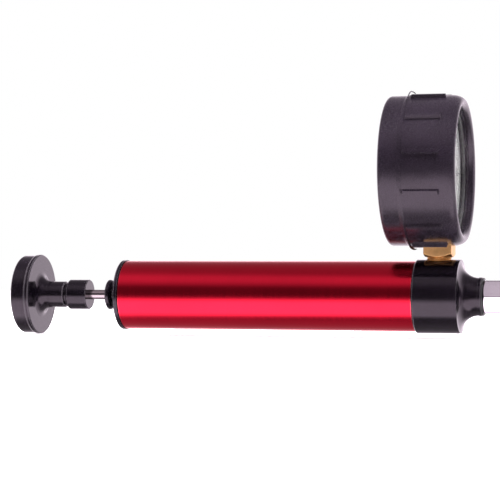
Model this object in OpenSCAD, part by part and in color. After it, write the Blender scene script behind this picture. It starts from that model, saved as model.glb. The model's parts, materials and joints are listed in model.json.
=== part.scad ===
// Hand pump of a cooling-system pressure tester: a turned barrel with a pull knob, a head that
// holds a check valve, a dial gauge in a rubber boot on the head, and a quick-release coupler.
//
// Millimetres. The origin is the centre of the coupler's mouth. +X runs out of the mouth along
// the pump's axis, and +Z runs up to the gauge, whose dial faces +X.

/* [Barrel] */
// Outside diameter of the barrel
barrel_d = 35; // [32:0.5:40]
// Wall of the barrel
barrel_wall = 2; // [1.5:0.25:3]
// Length of the barrel
barrel_len = 152; // [120:1:200]
// Chamfer on the outer edges of the barrel
barrel_chamfer = 0.4; // [0.2:0.1:0.8]

/* [End cap] */
// How far the cap's flange stands out past the barrel, on the radius
cap_step = 0.5; // [0.2:0.1:2]
// Thickness of the cap's flange
cap_flange = 2.2; // [1.5:0.1:5]
// Length of the cap's spigot in the barrel
cap_spigot = 8; // [5:0.5:14]
// Chamfer on the cap's outer edge
cap_chamfer = 0.6; // [0.2:0.1:0.7]
// Number of air holes through the cap
air_holes = 3; // [2:1:5]
// Diameter of one air hole
air_hole_d = 2.5; // [1.5:0.25:3]

/* [Rod guide] */
// Diameter of the guide's disc
guide_d = 15.4; // [12:0.2:20]
// Thickness of the guide's disc
guide_disc = 3; // [2:0.2:5]
// Diameter of the guide's neck, which screws into the cap
guide_neck_d = 8.9; // [8.1:0.1:11]
// How far the guide stands out of the cap
guide_reach = 7.9; // [6:0.1:14]

/* [Plunger] */
// Diameter of the steel rod
rod_d = 5; // [4:0.1:6]
// Bare rod between the guide and the collar as the pump lies
rod_show = 10.5; // [4:0.5:20]
// Diameter of the collar on the rod
collar_d = 15.4; // [14:0.2:20]
// Length of the collar
collar_len = 11.2; // [8:0.2:16]
// Chamfer on the collar's rear edge
collar_chamfer = 0.8; // [0.3:0.1:1.5]
// Width of the groove between the collar and the knob
groove_w = 1.6; // [1:0.1:3]
// Diameter at the bottom of that groove
groove_d = 11; // [9:0.5:12]
// Diameter of the knob's neck
knob_neck_d = 13.5; // [12:0.1:16]
// Straight length of the knob's neck
knob_neck_len = 8.4; // [5:0.2:14]
// Radius of the cove between the knob's face and neck
knob_cove = 5.4; // [3:0.2:6]
// Diameter of the knob's rim
knob_d = 40.6; // [36:0.2:50]
// Thickness of the knob at its rim
knob_rim = 10.2; // [8:0.1:13]
// Rounding of the knob's rear edge
knob_round = 2; // [1:0.1:3]
// How far the lip at the knob's front stands out past the rim
knob_lip_rise = 0.45; // [0.2:0.05:1]
// Length of that lip
knob_lip = 1.9; // [1.2:0.1:3]
// Chamfer on the lip's front edge
knob_chamfer = 0.5; // [0.2:0.1:0.8]
// Length of rod that is screwed into the knob
rod_thread = 16; // [10:0.5:18]

/* [Piston] */
// Thickness of the piston disc
piston_t = 5; // [3:0.5:8]
// Thickness of the cup seal's floor
cup_floor = 2; // [1.5:0.25:3]
// Depth of the cup seal's skirt
cup_depth = 5; // [3:0.25:7]
// Thickness of the cup seal's skirt
cup_skirt = 1.5; // [1:0.1:2.5]
// Diameter of the washer inside the cup
cup_washer_d = 23; // [18:0.5:25]
// Thickness of the washer inside the cup
cup_washer_t = 1.5; // [1:0.1:2.5]
// Size across the flats of the piston nut
piston_nut_af = 8; // [7:0.5:10]
// Thickness of the piston nut
piston_nut_t = 3; // [2.5:0.25:5]
// Diameter of the rod's shoulder behind the piston
rod_shoulder_d = 9; // [7:0.5:12]
// Thickness of that shoulder
rod_shoulder_t = 2.5; // [1.5:0.25:4]

/* [Head] */
// How far the head stands out past the barrel, on the radius
head_step = 0.9; // [0.2:0.1:2]
// Length of the head's cylinder
head_len = 22; // [20:0.5:30]
// Length of the head's spigot in the barrel
head_spigot = 10; // [9:0.5:16]
// Diameter of the head at the foot of the cove that draws it in to its mouth
head_mouth_d = 18.8; // [17:0.2:22]
// Width of the lip at the head's mouth
head_lip = 1.7; // [1:0.1:3]
// How far the lip stands out past the foot of the cove
head_lip_rise = 0.25; // [0.1:0.05:0.6]
// Thickness of the seal ring between head and barrel
barrel_seal_d = 1.5; // [1.2:0.1:2]

/* [Check valve] */
// Diameter of the screwed valve seat
seat_d = 9; // [8.6:0.2:11]
// Length of the valve seat
seat_len = 5; // [4:0.25:7]
// Diameter of the hole through the valve seat
seat_hole_d = 3; // [2:0.1:3.2]
// Diameter of the valve ball
ball_d = 5; // [4.4:0.1:6]
// Length of the chamber that holds ball and spring
valve_chamber = 11; // [10:0.5:12]
// Wire of the valve spring
valve_wire = 0.5; // [0.3:0.05:0.6]
// Turns of the valve spring
valve_turns = 6; // [4:1:7]
// Diameter of the air passage through the head
passage_d = 4; // [3:0.25:5]

/* [Gauge stem] */
// Diameter of the stem's thread
stem_d = 12.4; // [11:0.2:13]
// Height of the bare neck between head and square
stem_neck = 1.25; // [0.5:0.05:4]
// Size of the wrench square
square_w = 14; // [13:0.5:17]
// Height of the wrench square
square_h = 8.65; // [7:0.05:14]
// Depth of thread below the head's crown
stem_thread = 10; // [6:0.5:10.2]
// Diameter of the bore in the stem
stem_bore = 3; // [2:0.25:4]
// Width of the block that carries tube and movement
block_w = 12; // [11:0.5:14]
// Diameter of the stem where it passes the case wall
stem_waist = 7; // [6:0.25:7.2]

/* [Gauge case] */
// Outside diameter of the case
case_d = 66.8; // [64:0.2:72]
// Wall of the case
case_wall = 0.9; // [0.6:0.1:1.4]
// Depth of the case behind the stem's centre
case_back = 21.5; // [20:0.25:25]
// How far the dial's face lies in front of the stem's centre
dial_x = 4.5; // [4:0.1:6]
// Thickness of the dial
dial_t = 0.6; // [0.4:0.1:1]
// Gap between the dial's face and the lens
dial_gap = 1.7; // [1.6:0.1:4]
// Thickness of the lens
lens_t = 1.2; // [1:0.1:2.5]
// Thickness of the rubber ring under the lens
gasket_t = 0.6; // [0.4:0.1:1]
// Thickness of the bezel's sheet
bezel_t = 0.7; // [0.5:0.05:1]
// Width of the bezel's lip, which covers the edge of the lens
bezel_lip = 2.95; // [2.75:0.05:5]

/* [Bourdon tube] */
// Distance from the case wall in to the middle of the tube
tube_inset = 6.5; // [6:0.25:8]
// Width of the flattened tube, along the gauge's axis
tube_w = 8; // [6:0.25:9]
// Thickness of the flattened tube
tube_t = 3; // [2.5:0.1:3.4]
// Wall of the tube
tube_wall = 0.5; // [0.3:0.05:0.8]
// Distance of the tube's middle behind the stem's centre
tube_back = 10; // [9:0.25:12]
// Clock angle of the tube's end in the stem's block, in degrees clockwise from the top
tube_start = 188; // [184:1:190]
// Clock angle of the tube's closed end, in degrees clockwise from the top
tube_end = 110; // [100:1:120]

/* [Movement] */
// Distance from the stem's block up to the lower pillar
low_gap = 1.2; // [0.8:0.1:1.6]
// Teeth of the pinion
pinion_teeth = 10; // [10:1:12]
// Teeth that a full sector would have
sector_teeth = 80; // [76:1:84]
// Turn of the pointer over the whole scale, in degrees
pointer_sweep = 270; // [240:5:280]
// Thickness of the two plates
plate_t = 1; // [0.8:0.1:1.4]
// Clear space between the two plates
plate_gap = 8; // [7:0.25:8.5]
// Front face of the rear plate, behind the stem's centre
plate_back = 11; // [10.5:0.25:12]
// Width of the plates
plate_w = 8; // [7:0.25:10]
// Distance of the upper pillars to the side of the pinion
pillar_side = 6.5; // [5.5:0.25:8]
// Diameter of the pillars
pillar_d = 2.4; // [2.2:0.1:3]
// Diameter of the pinion's arbor
arbor_d = 1.2; // [1:0.1:1.4]
// Diameter of the sector's arbor
sector_arbor_d = 1.6; // [1.4:0.1:2]
// Length of the sector's tail
tail_len = 6; // [5:0.25:7]
// Diameter of the tail's pin
tail_pin_d = 1; // [0.8:0.1:1.2]
// Turns of the hairspring
hair_turns = 3; // [2:1:4]
// Length of the pointer from its centre to its tip
pointer_len = 25; // [20:0.5:27]

/* [Boot] */
// Wall of the rubber boot round the case
boot_wall = 3.7; // [3:0.1:5]
// Thickness of the boot's rear lip
boot_lip = 3.2; // [2:0.1:5]
// How far the boot's rear lip reaches in over the back of the case
boot_reach = 6.4; // [4.5:0.1:6.8]
// How far the boot's front stands in front of the lens
boot_nose = 5.5; // [4.5:0.1:8]
// Length of the rounding on the boot's front edge
boot_round = 6.4; // [5:0.2:7]
// Depth of that rounding on the radius
boot_round_r = 3.2; // [2:0.1:3.6]
// Number of ribs on the boot
boot_ribs = 12; // [8:2:16]
// Width of one rib
rib_w = 2; // [1.5:0.1:3]
// Height of one rib
rib_h = 1.7; // [1:0.1:3]
// Length of one rib
rib_len = 17.5; // [12:0.1:17.8]
// Turn of the ribs toward the front, in degrees
rib_turn = 4; // [0:0.5:4]
// Distance of the moulding seam in front of the boot's rear face
seam_x = 11.1; // [9:0.1:11.5]
// Height of the moulding seam
seam_h = 0.6; // [0.2:0.1:1]

/* [Outlet] */
// Size across the flats of the outlet's hexagon
hex_af = 16.2; // [15:0.2:18]
// Length of the hexagon
hex_len = 20; // [14:0.5:26]
// Thickness of the sealing washer
washer_t = 0.8; // [0.5:0.1:1.5]
// Diameter of the thread in the head
outlet_d = 13; // [12:0.2:14]
// Length of the thread in the head
outlet_thread = 12.5; // [9:0.5:12.5]
// Diameter of the socket's bore
socket_d = 10; // [9:0.2:10.4]
// Length of plain bore at the mouth
socket_lead = 6.5; // [5:0.25:6.7]
// Depth of the socket
socket_depth = 20; // [18:0.5:23]
// Thickness of the seal ring in the socket
socket_seal_d = 1.5; // [1.2:0.1:1.6]

/* [Coupler] */
// Diameter of the coupler's nose
nose_d = 16; // [15.6:0.1:17]
// Length of the coupler's nose
nose_len = 24.5; // [24:0.5:30]
// Diameter of one locking ball
lock_ball_d = 3.7; // [3.4:0.05:3.8]
// Number of locking balls
lock_balls = 4; // [4]
// Distance of the locking balls behind the mouth
lock_x = 9; // [8.8:0.1:9.4]
// How far a locking ball stands into the bore
lock_bite = 0.65; // [0.4:0.05:0.8]
// How far a locking ball moves out when the sleeve is drawn back
lock_travel = 0.75; // [0.5:0.05:0.9]
// Travel of the sleeve
sleeve_travel = 4.5; // [4:0.1:5]
// Diameter of the sleeve
sleeve_d = 23.6; // [23:0.2:27]
// Length of the sleeve
sleeve_len = 23.6; // [22:0.2:24]
// Number of grip grooves round the sleeve
sleeve_grooves = 5; // [3:1:6]
// Wire of the sleeve's spring
sleeve_wire = 1; // [0.8:0.05:1.1]
// Turns of the sleeve's spring
sleeve_turns = 5; // [4:1:5]
// Width of the snap ring
ring_w = 1; // [0.8:0.1:1.2]

/* [Clearances] */
// Radial gap of a screwed or pressed fit
fit_gap = 0.05; // [0.02:0.01:0.08]
// Radial gap of a sliding or turning fit
run_gap = 0.03; // [0.02:0.01:0.06]
// Radial gap of the sleeve and the cup seal, which slide dry
slide_gap = 0.1; // [0.06:0.01:0.1]
// Gap between pieces that pass without touching
free_gap = 0.3; // [0.2:0.05:0.4]

/* [Hidden] */
$fn = 96;

// Radii
bore_r = barrel_d / 2 - barrel_wall;
head_r = barrel_d / 2 + head_step;
head_cove = head_r - head_mouth_d / 2;
cap_r = barrel_d / 2 + cap_step;
spigot_r = bore_r - fit_gap;
rod_hole_d = rod_d + 2 * run_gap;
rod_fit_d = rod_d + 2 * fit_gap;

// Places along the pump's axis, from the mouth at 0 back to the knob
nose_back = -nose_len;
seat_collar_w = 1.5;
hex_front = nose_back - seat_collar_w;
hex_back = hex_front - hex_len;
head_mouth = hex_back - washer_t;
cove_front = head_mouth - head_lip;
cove_back = cove_front - head_cove;
head_back = cove_back - head_len;
head_inner = head_back - head_spigot;
stem_x = cove_back - head_len / 2;
cap_front = head_back - barrel_len;
cap_back = cap_front - cap_flange;
cap_inner = cap_front + cap_spigot;
guide_back = cap_back - guide_reach;
collar_front = guide_back - rod_show;
collar_back = collar_front - collar_len;
neck_front = collar_back - groove_w;
knob_face = neck_front - knob_neck_len - knob_cove;
knob_back = knob_face - knob_rim;
rod_back = neck_front - rod_thread;

// Places of the piston's pieces, whose front stays clear of the head when the knob is home
nut_front = head_inner - rod_show - free_gap;
nut_back = nut_front - piston_nut_t;
cup_washer_front = nut_back - fit_gap;
cup_front = cup_washer_front - cup_washer_t;
piston_front = cup_front - cup_floor;
piston_back = piston_front - piston_t;
shoulder_front = piston_back - fit_gap;
shoulder_back = shoulder_front - rod_shoulder_t;

// Check valve: a ball in a 45 degree seat, with its spring behind it
seat_front = head_inner + seat_len;
seat_cone = 1.4;
seat_cone_x = seat_front - seat_cone;
ball_x = seat_cone_x + (ball_d / 2 + run_gap) * sqrt(2) - seat_hole_d / 2;
valve_bore_r = ball_d / 2 + 0.5;
valve_coil_r = valve_bore_r - valve_wire / 2 - 1.05;
valve_shoulder = seat_front + valve_chamber;
valve_coil_from = ball_x + sqrt(pow(ball_d / 2, 2) - pow(valve_coil_r, 2)) + valve_wire / 2 + free_gap;
valve_coil_to = valve_shoulder - valve_wire / 2 - fit_gap;
outlet_floor = head_mouth - outlet_thread - free_gap;

// Gauge: heights from the pump's axis, and depths from the stem's centre
stem_foot = head_r - stem_thread;
square_z = head_r + stem_neck;
square_top = square_z + square_h;
case_r = case_d / 2;
case_ir = case_r - case_wall;
gasket_x = dial_x + dial_gap - gasket_t;
lens_x = dial_x + dial_gap;
lens_front = lens_x + lens_t;
bezel_front = lens_front + fit_gap + bezel_t;
bezel_ir = case_r + fit_gap;
bezel_r = bezel_ir + bezel_t;
window_r = bezel_r - bezel_lip;
skirt_back = stem_waist / 2 + free_gap;
gauge_z = square_top + fit_gap + bezel_r;
lens_r = case_r - 2 * fit_gap;
boot_back = -case_back - boot_lip;
boot_front = lens_front + boot_nose;
boot_r = case_r + 4 * fit_gap + boot_wall;
boot_hole_r = case_r - boot_reach;
boot_bezel_r = bezel_r + 4 * fit_gap;
boot_inner_r = case_r + 4 * fit_gap;
boot_mouth_r = window_r - 4 * fit_gap;

// Movement: pinion at the gauge's centre, sector below it, tail to the right
tube_r = case_ir - tube_inset;
tube_slot = 12;
block_top = -tube_r + tube_t / 2 + 2.6;
low_pillar_z = block_top + low_gap + pillar_d / 2;
centre_gap = -low_pillar_z - tail_len;
tooth_m = 2 * centre_gap / (pinion_teeth + sector_teeth);
pinion_r = tooth_m * pinion_teeth / 2;
sector_r = tooth_m * sector_teeth / 2;
gear_ratio = sector_teeth / pinion_teeth;
sector_turn = pointer_sweep / gear_ratio;
tail_rest = -45;
rear_plate_x = -plate_back - plate_t;
front_plate_x = -plate_back + plate_gap;
sector_x = -7.5;
sector_t = 1;
link_x = sector_x + sector_t + 0.6;
link_t = 0.8;
pinion_x = sector_x - 1;
pinion_w = 3;
pillar_up = 1;
block_foot = -sqrt(pow(case_ir - fit_gap, 2) - pow(block_w / 2, 2));
block_front = 2;
bracket_t = 3;
bracket_front = rear_plate_x;
bracket_top = -centre_gap - 4;
case_screw_z = block_top - 2;
plate_screw_z = bracket_top - 2;
screw_y = block_w / 2 - 2.5;
case_screw_d = 2.4;
case_screw_len = 7;
small_screw_d = 1.4;
tip_pin_d = 1.2;
tip_angle = tube_end + 2;
tooth_slack = 0.27 * tooth_m;
sector_tip = 0.6 * tooth_m;
pinion_tip = 0.9 * tooth_m;
tooth_clear = 0.3 * tooth_m;
pivot = [0, -centre_gap];
tail_point = pivot + tail_len * [cos(tail_rest), sin(tail_rest)];
tip_point = clock(tip_angle, tube_r - 5);
hair_in = 1.2;
hair_out = 4.4;
hair_t = 0.2;
hair_x = front_plate_x + plate_t + 0.4;
hair_w = 0.5;
zero_angle = -pointer_sweep / 2;
needle_x = dial_x + 0.55;
needle_t = 0.3;
stop_r = 18;
stop_pin_d = 0.9;
hub_d = 3.2;

// Coupler: the sleeve's lip keeps the balls in until it is drawn back
nose_r = nose_d / 2;
lock_ball_r = lock_ball_d / 2;
lock_centre_r = socket_d / 2 - lock_bite + lock_ball_r;
sleeve_land_r = nose_r + slide_gap;
sleeve_slope = lock_travel / sleeve_travel;
socket_relief = 0.35;
sleeve_recess_r = sleeve_land_r + lock_travel + slide_gap;
ring_front = -0.6;
ring_back = ring_front - ring_w;
sleeve_front = ring_back - free_gap;
sleeve_back = sleeve_front - sleeve_len;
sleeve_pocket_r = nose_r + sleeve_wire + 1.3;
sleeve_cone_x = -lock_x - free_gap;
sleeve_step = sleeve_cone_x - 3.7;
seat_collar_r = sleeve_pocket_r - free_gap;
sleeve_coil_r = nose_r + sleeve_wire / 2 + 0.7;
ring_r = sleeve_recess_r + 0.65;

// Finishes
red = [0.72, 0.02, 0.08];
black = [0.10, 0.10, 0.11];
rubber = [0.19, 0.16, 0.19];
steel = [0.75, 0.76, 0.78];
nickel = [0.86, 0.85, 0.84];
brass = [0.80, 0.64, 0.36];
white = [0.95, 0.95, 0.94];
clear = [0.85, 0.92, 0.95, 0.35];

// Points on an arc about [radius, x], from one angle to another, with radii [along radius, along x]
function arc(centre, radii, from, to, steps = 12) = [
    for (i = [0:steps])
        let (a = from + (to - from) * i / steps)
        [centre[0] + radii[0] * cos(a), centre[1] + radii[1] * sin(a)]
];

// Point on the dial's plane at a clock angle, in degrees clockwise from the top
function clock(angle, radius) = [radius * sin(angle), radius * cos(angle)];

// Solid turned about the X axis from [radius, x] points
module turned(points) {
    rotate([0, 90, 0])
        rotate_extrude()
            polygon(points);
}

// Round bar along X
module bar_x(d, from, to) {
    translate([from, 0, 0])
        rotate([0, 90, 0])
            cylinder(d = d, h = to - from);
}

// Hexagonal bar along X, with an edge toward +Y and -Y
module hex_x(af, from, to) {
    translate([from, 0, 0])
        rotate([0, 90, 0])
            rotate(30)
                cylinder(d = af / cos(30), h = to - from, $fn = 6);
}

// Ring of round section about the X axis
module ring_x(mean_r, section_d, x) {
    translate([x, 0, 0])
        rotate([0, 90, 0])
            rotate_extrude()
                translate([mean_r, 0])
                    circle(d = section_d);
}

// Moves a piece from the gauge's own centre to its place on the head
module at_gauge() {
    translate([stem_x, 0, gauge_z])
        children();
}

// Plate from a flat outline drawn as the dial's reader sees it, with its rear face at x
module plate_x(x, thick) {
    translate([x, 0, 0])
        rotate([90, 0, 90])
            linear_extrude(thick)
                children();
}

// Stretch of a ring about the X axis between two clock angles, of the section given as a child
module ring_stretch(from, to) {
    rotate([0, 90, 0])
        rotate(180 - to)
            rotate_extrude(angle = to - from)
                children();
}

// Moves a piece that lies along X to a point of the dial's plane
module pin_at(point) {
    translate([0, point[0], point[1]])
        children();
}

// Slotted screw along X whose head stands on a face at x, on the side that way (1 or -1) gives
module screw(d, x, length, head_t, way = -1) {
    translate([x, 0, 0])
        rotate([0, 0, way > 0 ? 0 : 180])
            difference() {
                turned([
                    [0, -length], [d / 2, -length], [d / 2, 0], [0.9 * d, 0],
                    [0.9 * d, head_t * 0.7], [0.75 * d, head_t], [0, head_t]
                ]);
                translate([head_t * 0.5, -d / 8, -d])
                    cube([head_t, d / 4, 2 * d]);
            }
}

// Coil spring about the X axis, between the middles of its end turns
module coil(mean_r, wire_d, from, to, turns, steps, sides) {
    rings = turns * steps;
    rise = (to - from) / (2 * PI * turns * mean_r);
    points = [
        for (i = [0:rings])
            let (
                a = 360 * i / steps,
                out = [0, sin(a), cos(a)],
                way = [rise, cos(a), -sin(a)] / sqrt(1 + rise * rise),
                side = cross(way, out),
                middle = [from + (to - from) * i / rings, mean_r * sin(a), mean_r * cos(a)]
            )
            for (j = [0:sides - 1])
                middle + wire_d / 2 * (cos(360 * j / sides) * out + sin(360 * j / sides) * side)
    ];
    walls = [
        for (i = [0:rings - 1])
            for (j = [0:sides - 1])
                let (
                    a = i * sides + j,
                    b = i * sides + (j + 1) % sides,
                    c = a + sides,
                    d = b + sides
                )
                each [[a, c, d], [a, d, b]]
    ];
    first = [for (j = [0:sides - 1]) j];
    last = [for (j = [sides - 1:-1:0]) rings * sides + j];
    polyhedron(points, concat([first], walls, [last]));
}

// ---------------------------------------------------------------- barrel and cap

module barrel() {
    r = barrel_d / 2;
    c = barrel_chamfer;
    color(red)
        turned([
            [bore_r, cap_front], [r - c, cap_front], [r, cap_front + c],
            [r, head_back - c], [r - c, head_back], [bore_r, head_back]
        ]);
}

module end_cap() {
    c = cap_chamfer;
    hole_r = guide_neck_d / 2 + fit_gap;
    air_r = (hole_r + spigot_r) / 2;
    color(black)
        difference() {
            turned([
                [hole_r, cap_back], [cap_r - c, cap_back], [cap_r, cap_back + c],
                [cap_r, cap_front], [spigot_r, cap_front], [spigot_r, cap_inner], [hole_r, cap_inner]
            ]);
            for (i = [0:air_holes - 1])
                rotate([360 * i / air_holes, 0, 0])
                    translate([0, air_r, 0])
                        bar_x(air_hole_d, cap_back - 1, cap_inner + 1);
        }
}

module rod_guide() {
    r = guide_d / 2;
    neck = guide_neck_d / 2;
    round = guide_disc - 0.8;
    color(black)
        turned(concat(
            [[rod_hole_d / 2, guide_back], [r - 0.4, guide_back], [r, guide_back + 0.4]],
            arc([r - round, guide_back + guide_disc - round], [round, round], 0, 90),
            [[neck, guide_back + guide_disc], [neck, cap_inner], [rod_hole_d / 2, cap_inner]]
        ));
}

// ---------------------------------------------------------------- head and check valve

module head() {
    seal_x = head_back - head_spigot / 2;
    groove = barrel_seal_d * 0.8;
    lip_r = head_mouth_d / 2 + head_lip_rise;
    hole_r = outlet_d / 2 + fit_gap;
    seat_r = seat_d / 2 + fit_gap;
    color(black)
        difference() {
            turned(concat(
                [
                    [seat_r, head_inner], [spigot_r, head_inner],
                    [spigot_r, seal_x - groove], [spigot_r - barrel_seal_d, seal_x - groove],
                    [spigot_r - barrel_seal_d, seal_x + groove], [spigot_r, seal_x + groove],
                    [spigot_r, head_back], [head_r - 0.4, head_back], [head_r, head_back + 0.4]
                ],
                arc([head_r, cove_front], [head_cove, head_cove], 270, 180, 18),
                [
                    [lip_r, cove_front + 0.3], [lip_r, head_mouth - 0.3], [lip_r - 0.3, head_mouth],
                    [hole_r, head_mouth], [hole_r, outlet_floor],
                    [passage_d / 2, outlet_floor], [passage_d / 2, valve_shoulder],
                    [valve_bore_r, valve_shoulder], [valve_bore_r, seat_front],
                    [seat_r, seat_front]
                ]
            ));
            translate([stem_x, 0, 0])
                cylinder(d = passage_d, h = head_r);
            translate([stem_x, 0, stem_foot - free_gap])
                cylinder(d = stem_d + 2 * fit_gap, h = stem_thread + 2);
        }
}

module barrel_seal() {
    color(rubber)
        ring_x(bore_r - run_gap - barrel_seal_d / 2, barrel_seal_d, head_back - head_spigot / 2);
}

module valve_seat() {
    r = seat_d / 2;
    hole_r = seat_hole_d / 2;
    color(brass)
        turned([
            [hole_r, head_inner], [r, head_inner], [r, seat_front],
            [hole_r + seat_cone, seat_front], [hole_r, seat_cone_x]
        ]);
}

module valve_ball() {
    color(steel)
        translate([ball_x, 0, 0])
            sphere(d = ball_d);
}

module check_spring() {
    color(steel)
        coil(valve_coil_r, valve_wire, valve_coil_from, valve_coil_to, valve_turns, 12, 6);
}

// ---------------------------------------------------------------- plunger

module rod() {
    r = rod_d / 2;
    shoulder_r = rod_shoulder_d / 2;
    color(steel)
        turned([
            [0, rod_back], [r - 0.3, rod_back], [r, rod_back + 0.3],
            [r, shoulder_back], [shoulder_r, shoulder_back], [shoulder_r, shoulder_front],
            [r, shoulder_front], [r, nut_front - 0.3], [r - 0.3, nut_front], [0, nut_front]
        ]);
}

module pull_knob() {
    r = knob_d / 2;
    lip_r = r + knob_lip_rise;
    lip_back = knob_face - knob_lip;
    neck = knob_neck_d / 2;
    hole_r = rod_fit_d / 2;
    floor_x = rod_back - fit_gap;
    color(black)
        turned(concat(
            [[0, knob_back]],
            arc([r - knob_round, knob_back + knob_round], [knob_round, knob_round], -90, 0),
            [
                [r, lip_back - 1.5 * knob_lip_rise], [lip_r, lip_back],
                [lip_r, knob_face - knob_chamfer], [lip_r - knob_chamfer, knob_face]
            ],
            arc([neck + knob_cove, knob_face + knob_cove], [knob_cove, knob_cove], 270, 180),
            [
                [neck, neck_front - 0.5], [neck - 0.5, neck_front],
                [hole_r, neck_front], [hole_r, floor_x], [0, floor_x]
            ]
        ));
}

module rod_collar() {
    r = collar_d / 2;
    c = collar_chamfer;
    hole_r = rod_fit_d / 2;
    color(black)
        turned([
            [hole_r, neck_front], [groove_d / 2, neck_front], [groove_d / 2, collar_back],
            [r - c, collar_back], [r, collar_back + c],
            [r, collar_front - 0.3], [r - 0.3, collar_front], [hole_r, collar_front]
        ]);
}

module piston_nut() {
    color(steel)
        difference() {
            hex_x(piston_nut_af, nut_back, nut_front);
            bar_x(rod_fit_d, nut_back - 1, nut_front + 1);
        }
}

module piston_disc() {
    color(steel)
        turned([
            [rod_hole_d / 2, piston_back], [bore_r - free_gap, piston_back],
            [bore_r - free_gap, piston_front], [rod_hole_d / 2, piston_front]
        ]);
}

module cup_seal() {
    r = bore_r - slide_gap;
    color(rubber)
        turned([
            [rod_hole_d / 2, piston_front], [r, piston_front],
            [r, piston_front + cup_depth], [r - cup_skirt / 2, piston_front + cup_depth],
            [r - cup_skirt, cup_front], [rod_hole_d / 2, cup_front]
        ]);
}

module cup_washer() {
    color(steel)
        turned([
            [rod_hole_d / 2, cup_front], [cup_washer_d / 2, cup_front],
            [cup_washer_d / 2, cup_washer_front], [rod_hole_d / 2, cup_washer_front]
        ]);
}

// ---------------------------------------------------------------- gauge stem and case

// Flattened section of the tube, drawn as [radius, along the gauge's axis]
module tube_section(width, thick) {
    straight = width - thick;
    translate([tube_r, -tube_back]) {
        square([thick, straight], center = true);
        for (side = [-1, 1])
            translate([0, side * straight / 2])
                circle(d = thick);
    }
}

module gauge_socket() {
    corner_r = square_w / sqrt(2);
    bevel_h = (corner_r - square_w / 2) / 2;
    cross_z = gauge_z - tube_r;
    color(brass)
        difference() {
            union() {
                translate([stem_x, 0, stem_foot])
                    cylinder(d = stem_d, h = square_z - stem_foot);
                intersection() {
                    translate([stem_x - square_w / 2, -square_w / 2, square_z])
                        cube([square_w, square_w, square_h]);
                    translate([stem_x, 0, square_z])
                        union() {
                            cylinder(r1 = square_w / 2, r2 = corner_r, h = bevel_h);
                            translate([0, 0, bevel_h])
                                cylinder(r = corner_r, h = square_h - bevel_h);
                        }
                }
                translate([stem_x, 0, square_top])
                    cylinder(d = stem_waist, h = gauge_z + block_foot - square_top + 1);
                at_gauge()
                    translate([fit_gap - case_back + case_wall, -block_w / 2, block_foot])
                        cube([
                            block_front + case_back - case_wall - fit_gap,
                            block_w,
                            block_top - block_foot
                        ]);
                at_gauge()
                    translate([bracket_front - bracket_t, -block_w / 2, block_foot])
                        cube([bracket_t, block_w, bracket_top - block_foot]);
            }
            translate([stem_x, 0, stem_foot - 1])
                cylinder(d = stem_bore, h = cross_z - stem_foot + 1);
            translate([0, 0, cross_z])
                bar_x(stem_bore * 0.6, stem_x - tube_back, stem_x);
            translate([stem_x - tube_back, 0, cross_z])
                rotate([90, 0, 0])
                    cylinder(d = stem_bore * 0.6, h = block_w / 2);
            at_gauge()
                ring_stretch(tube_start - 1, tube_start + tube_slot)
                    tube_section(tube_w + 2 * fit_gap, tube_t + 2 * fit_gap);
            at_gauge()
                for (side = [-1, 1])
                    translate([0, side * screw_y, 0]) {
                        translate([0, 0, case_screw_z])
                            bar_x(case_screw_d + 2 * fit_gap, -case_back, case_screw_len + 1 - case_back);
                        translate([0, 0, plate_screw_z])
                            bar_x(small_screw_d + 2 * fit_gap, bracket_front - 2.5, bracket_front + 1);
                    }
        }
}

module gauge_case() {
    color(black)
        at_gauge()
            difference() {
                turned([
                    [0, -case_back], [case_r - 1, -case_back], [case_r, 1 - case_back],
                    [case_r, gasket_x], [case_ir, gasket_x],
                    [case_ir, case_wall - case_back], [0, case_wall - case_back]
                ]);
                translate([0, 0, -case_r - 1])
                    cylinder(d = stem_waist + 2 * fit_gap, h = case_r / 2);
                for (side = [-1, 1])
                    translate([0, side * screw_y, case_screw_z])
                        bar_x(case_screw_d + 2 * fit_gap, -case_back - 1, 2 - case_back);
            }
}

module case_screws() {
    color(steel)
        at_gauge()
            for (side = [-1, 1])
                translate([0, side * screw_y, case_screw_z])
                    screw(case_screw_d, -case_back, case_screw_len, 1.3);
}

// ---------------------------------------------------------------- bourdon tube and link

module bourdon_tube() {
    color(brass)
        at_gauge()
            ring_stretch(tube_start, tube_end + 360)
                difference() {
                    tube_section(tube_w, tube_t);
                    tube_section(tube_w - 2 * tube_wall, tube_t - 2 * tube_wall);
                }
}

module tube_tip() {
    wall = 0.8;
    lug_r = 1.3;
    color(brass)
        at_gauge() {
            difference() {
                ring_stretch(tube_end - 5, tube_end + 4)
                    translate([tube_r, -tube_back])
                        square([tube_t + 2 * wall, tube_w + 2 * wall], center = true);
                ring_stretch(tube_end - 6, tube_end + 0.2)
                    tube_section(tube_w + 2 * fit_gap, tube_t + 2 * fit_gap);
            }
            plate_x(sector_x, sector_t) {
                translate(tip_point)
                    circle(lug_r);
                rotate(-tip_angle)
                    translate([-lug_r, norm(tip_point)])
                        square([2 * lug_r, tube_r - tube_t / 2 - wall / 2 - norm(tip_point)]);
            }
            pin_at(tip_point)
                bar_x(tip_pin_d, sector_x, link_x + link_t + 0.3);
        }
}

module tip_link() {
    way = tip_point - tail_point;
    bar_w = 2;
    eye_r = 1.9;
    color(steel)
        at_gauge()
            plate_x(link_x, link_t)
                difference() {
                    union() {
                        translate(tail_point)
                            circle(eye_r);
                        translate(tip_point)
                            circle(eye_r - 0.4);
                        translate(tail_point)
                            rotate(atan2(way[1], way[0]))
                                translate([0, -bar_w / 2])
                                    square([norm(way), bar_w]);
                    }
                    translate(tail_point)
                        circle(tail_pin_d / 2 + 0.45);
                    translate(tip_point)
                        circle(tip_pin_d / 2 + fit_gap);
                }
}

// ---------------------------------------------------------------- movement

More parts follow.
